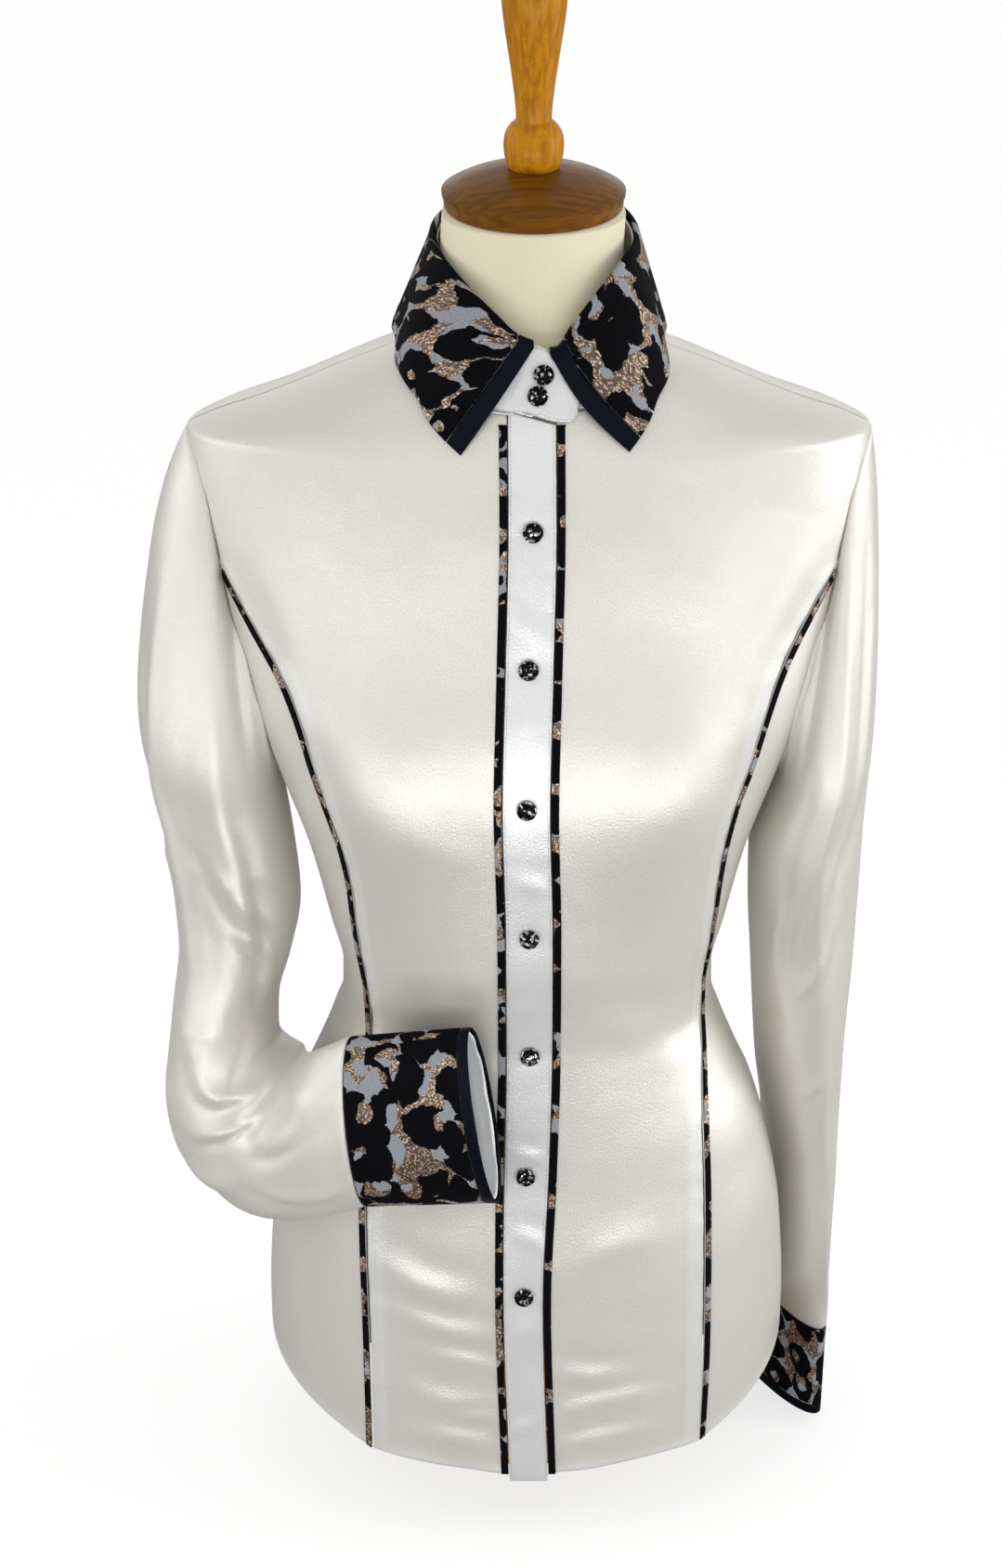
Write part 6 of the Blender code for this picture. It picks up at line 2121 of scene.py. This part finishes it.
@dataclass(frozen=True)
class DressForm:
    """Limbless form in ribbed jersey, its wooden cap and finial, and the stand under it."""

    bottom: float = 0.098
    inset: float = 0.0066
    back_inset: float = 0.0024
    shoulder_inset: float = 0.0044
    half_width: float = 0.165
    top_half: float = 0.0487
    cap_tilt: float = 4.5
    cap_centre: Triple = (0.0022, 0.010, 0.7561)
    cap_radius: float = 0.0490
    cap_edge: float = 0.0063
    cap_round: float = 0.0030
    cap_dome: float = 0.0120
    cap_seat: float = 0.0140
    cap_fullness: float = 2.6
    base_radius: float = 0.078
    base_height: float = 0.018
    pole_radius: float = 0.017
    sides: int = 180
    neck_rings: int = 72
    smoothing: int = 10
    # Radius and height above the cap, from the finial's foot up
    finial_rings: tuple[Place, ...] = (
        (0.0136, 0.0003), (0.0151, 0.0042), (0.0160, 0.0102), (0.0160, 0.0152), (0.0148, 0.0202),
        (0.0120, 0.0238), (0.0094, 0.0258), (0.0097, 0.0332), (0.0113, 0.0466), (0.0135, 0.0611),
        (0.0158, 0.0762), (0.0171, 0.0872), (0.0175, 0.0962), (0.0166, 0.1037), (0.0135, 0.1092),
        (0.0075, 0.1117),
    )
    # Rings of the shoulders: height, share of the body's inset that is left
    shoulders: tuple[Place, ...] = (
        (0.612, 0.6), (0.622, 0.4), (0.632, 0.2), (0.643, 0.0), (0.654, 0.0), (0.668, 0.0),
    )

    def ring(self, height: float, inset: float) -> Array:
        """Ring of the form under the shirt, flat where the arms would be."""
        turn = np.linspace(0, 360, self.sides, endpoint=False)
        behind = self.back_inset * np.clip((from_front(turn) - 84) / 12, 0, 1)
        ring = TORSO_FACE.point(turn, height + 0 * turn, -inset - behind)
        ring[:, 0] = np.copysign(np.minimum(np.abs(ring[:, 0]), self.half_width), ring[:, 0])
        return ring

    def neck_ring(
        self, half: float, front: float, back: float, middle: float, tilt: float, level: float
    ) -> Array:
        """Oval ring of the neck, its plane tilted about X."""
        angle = np.linspace(0, 2 * math.pi, self.sides, endpoint=False)
        depth = np.where(np.cos(angle) > 0, front, back)
        y = -depth * np.cos(angle)
        return np.stack([middle + half * np.sin(angle), y, level + tilt * (y - self.cap_centre[1])], -1)

    def torso(self) -> bpy.types.Object:
        """Torso and neck in one sheet of jersey, closed above and below."""
        foot = self.ring(self.bottom, self.inset) * np.array([0.86, 0.86, 1.0])
        rings = [foot * np.array([0.4, 0.4, 1.0]), foot]
        for height in np.concatenate([[0.112], np.linspace(0.130, 0.600, 60)]):
            rings.append(self.ring(height, self.inset))
        for height, share in self.shoulders:
            inset = self.shoulder_inset + share * (self.inset - self.shoulder_inset)
            rings.append(self.ring(height, inset))
        middle, tilt = self.cap_centre[0] / 2, math.tan(math.radians(self.cap_tilt))
        keys = [self.ring(0.668, self.shoulder_inset), self.ring(0.680, 0.0051)]
        for height, half, front, back in NECK:
            keys.append(self.neck_ring(half, front, back, middle, 0.0, height))
        keys.append(self.neck_ring(
            self.top_half, self.top_half - self.cap_centre[1], self.top_half + self.cap_centre[1],
            self.cap_centre[0], tilt, self.cap_centre[2] - GAP,
        ))
        stack = np.stack(keys)
        at = np.linspace(0, len(keys) - 1, self.neck_rings)[1:]
        flat = stack.reshape(len(keys), -1)
        smooth = np.stack([np.interp(at, np.arange(len(keys)), flat[:, k]) for k in range(flat.shape[1])], -1)
        smooth = smooth.reshape(len(at), self.sides, 3)
        for _ in range(self.smoothing):
            smooth[1:-1] = 0.25 * smooth[:-2] + 0.5 * smooth[1:-1] + 0.25 * smooth[2:]
        rings += list(smooth)
        top = rings[-1]
        rings.append(top.mean(axis=0) + (top - top.mean(axis=0)) * 0.4)
        grid = np.roll(np.stack(rings), self.sides // 2, axis=1)
        made = grid_object("form_cover", grid, flat_uv(grid, (0.0, 0.0), True), closed=True)
        self.close_ends(made, len(rings))
        dress(made, JERSEY, "form_torso")
        return made

    def close_ends(self, made: bpy.types.Object, rings: int) -> None:
        """Fills the first and the last ring of the form."""
        bpy.ops.object.select_all(action="DESELECT")
        bpy.context.view_layer.objects.active = made
        made.select_set(True)
        for start in (0, (rings - 1) * self.sides):
            bpy.ops.object.mode_set(mode="EDIT")
            bpy.ops.mesh.select_mode(type="VERT")
            bpy.ops.mesh.select_all(action="DESELECT")
            bpy.ops.object.mode_set(mode="OBJECT")
            for k in range(start, start + self.sides):
                made.data.vertices[k].select = True
            bpy.ops.object.mode_set(mode="EDIT")
            bpy.ops.mesh.edge_face_add()
        bpy.ops.mesh.select_all(action="SELECT")
        bpy.ops.mesh.normals_make_consistent(inside=False)
        bpy.ops.object.mode_set(mode="OBJECT")

    def cap_and_finial(self) -> None:
        """Domed wooden cap on the neck and the turned finial on it."""
        lean = math.radians(self.cap_tilt)
        axis = np.array([0.0, -math.sin(lean), math.cos(lean)])
        edge, widest = self.cap_radius, self.cap_edge + self.cap_round
        profile = [(edge - 0.0026, 0.0), (edge - 0.0016, 0.0006), (edge - 0.0012, 0.0020)]
        profile += [(edge - 0.0009, self.cap_edge - 0.0004), (edge - 0.0002, self.cap_edge + 0.0006)]
        for share in (1.0, 0.975, 0.94, 0.90, 0.85, 0.78, 0.70, 0.62, 0.53, 0.44):
            profile.append((edge * share, widest + self.cap_dome * (1 - share**self.cap_fullness)))
        profile.append((self.cap_seat, widest + self.cap_dome))
        made = lathe("wooden_cap", profile, 120)
        stand_on(made, np.array(self.cap_centre), axis)
        dress(made, DARK_WOOD, "neck_cap")
        foot = np.array(self.cap_centre) + axis * (widest + self.cap_dome)
        rings = list(self.finial_rings)
        profile = [rings[0], *rounded(rings[1:6], 2), *rounded(rings[6:], 2)]
        made = lathe("turned_finial", profile, 72, 50.0)
        stand_on(made, foot, axis)
        dress(made, WARM_WOOD, "finial")

    def stand(self) -> None:
        """Round base and short pole, on the part's own axis."""
        r, h = self.base_radius, self.base_height
        profile = [(r - 0.002, 0.0), (r, 0.002), (r, h - 0.008), (r - 0.0008, h - 0.0055)]
        profile += [(r - 0.003, h - 0.003)]
        profile += [(r - 0.006, h - 0.0012), (r - 0.010, h - 0.0002), (r - 0.030, h), (0.020, h)]
        made = lathe("wooden_base", profile, 120)
        dress(made, BASE_WOOD, "stand_base")
        foot, top, p = h + GAP, self.bottom - GAP, self.pole_radius
        profile = [(p + 0.0055, foot), (p + 0.006, foot + 0.001), (p + 0.006, foot + 0.009)]
        profile += [(p + 0.0045, foot + 0.012), (p + 0.001, foot + 0.015), (p, foot + 0.018), (p, top)]
        made = lathe("wooden_pole", profile, 72)
        dress(made, WARM_WOOD, "stand_pole")

    def build(self) -> None:
        """Makes the form and its woodwork."""
        self.torso()
        self.cap_and_finial()
        self.stand()


# ---------------------------------------------------------------- studio
@dataclass(frozen=True)
class Studio:
    """Pale floor, soft lights and the camera."""

    camera_place: Triple = (-0.0148, -1.84639, 1.19632)
    camera_pitch: float = 67.0
    lens: float = 80.0
    sky: float = 0.95
    zenith: float = 0.62

    def light(self, name: str, place: Triple, target: Triple, size: Place, power: float) -> None:
        """A soft box that faces a target.

        Args:
            name: The light's name.
            place: Where it stands.
            target: The point that it faces.
            size: Its width and height.
            power: Watts.
        """
        data = bpy.data.lights.new(name, "AREA")
        data.shape = "RECTANGLE"
        data.size, data.size_y = size
        data.energy = power
        made = linked(name, data)
        made.location = place
        made.rotation_euler = (Vector(target) - Vector(place)).to_track_quat("-Z", "Y").to_euler()
        made.visible_camera = False

    def build(self) -> None:
        """Sets up the floor, the world, the lights and the camera."""
        bpy.ops.object.select_all(action="DESELECT")
        bpy.ops.mesh.primitive_plane_add(size=40.0, location=(0, 0, 0))
        floor = bpy.context.object
        floor.name = "floor"
        floor.data.materials.append(Paper("studio floor").material())
        scene = bpy.context.scene
        scene.view_settings.view_transform = "Standard"
        world = bpy.data.worlds.new("studio")
        world.use_nodes = True
        graph = Graph(world.node_tree)
        way = graph.add("SeparateXYZ", {0: graph.add("TexCoord").outputs["Generated"]}).outputs[2]
        strength = graph.remap(way, 0.0, 1.0, self.sky, self.zenith)
        background = world.node_tree.nodes["Background"]
        background.inputs["Color"].default_value = (1.0, 0.992, 0.975, 1.0)
        world.node_tree.links.new(strength, background.inputs["Strength"])
        scene.world = world
        self.light("window_left", (-1.6, -0.2, 0.60), (0, 0, 0.40), (0.8, 1.6), 5)
        self.light("window_right", (1.6, -0.1, 0.50), (0.1, 0, 0.34), (0.8, 1.4), 13)
        self.light("low_strip", (0.0, -1.45, 0.10), (0, 0, 0.46), (4.4, 0.17), 13)
        self.light("front", (0.0, -2.4, 1.3), (0, 0, 0.45), (2.4, 0.8), 1)
        lens = bpy.data.cameras.new("camera")
        lens.lens = self.lens
        lens.sensor_width = 36.0
        lens.clip_end = 100.0
        camera = linked("camera", lens)
        camera.location = self.camera_place
        camera.rotation_euler = (math.radians(self.camera_pitch), 0, 0)
        scene.camera = camera


def corners(box: Any) -> list[list[float]]:
    """A box's two corners as plain lists."""
    return [[float(value) for value in corner] for corner in box]


def main() -> None:
    """Builds the sub-assemblies in order."""
    logging.basicConfig(level=logging.INFO, format="%(message)s")
    studio, panels, placket, collar = Studio(), Panels(), Placket(), Collar()
    arms = (RIGHT_ARM, LEFT_ARM)
    studio.build()
    panels.build()
    placket.build(panels)
    for arm in arms:
        arm.build()
    collar.build()
    Snaps().build(collar, arms)
    DressForm().build()


if __name__ == "__main__":
    main()
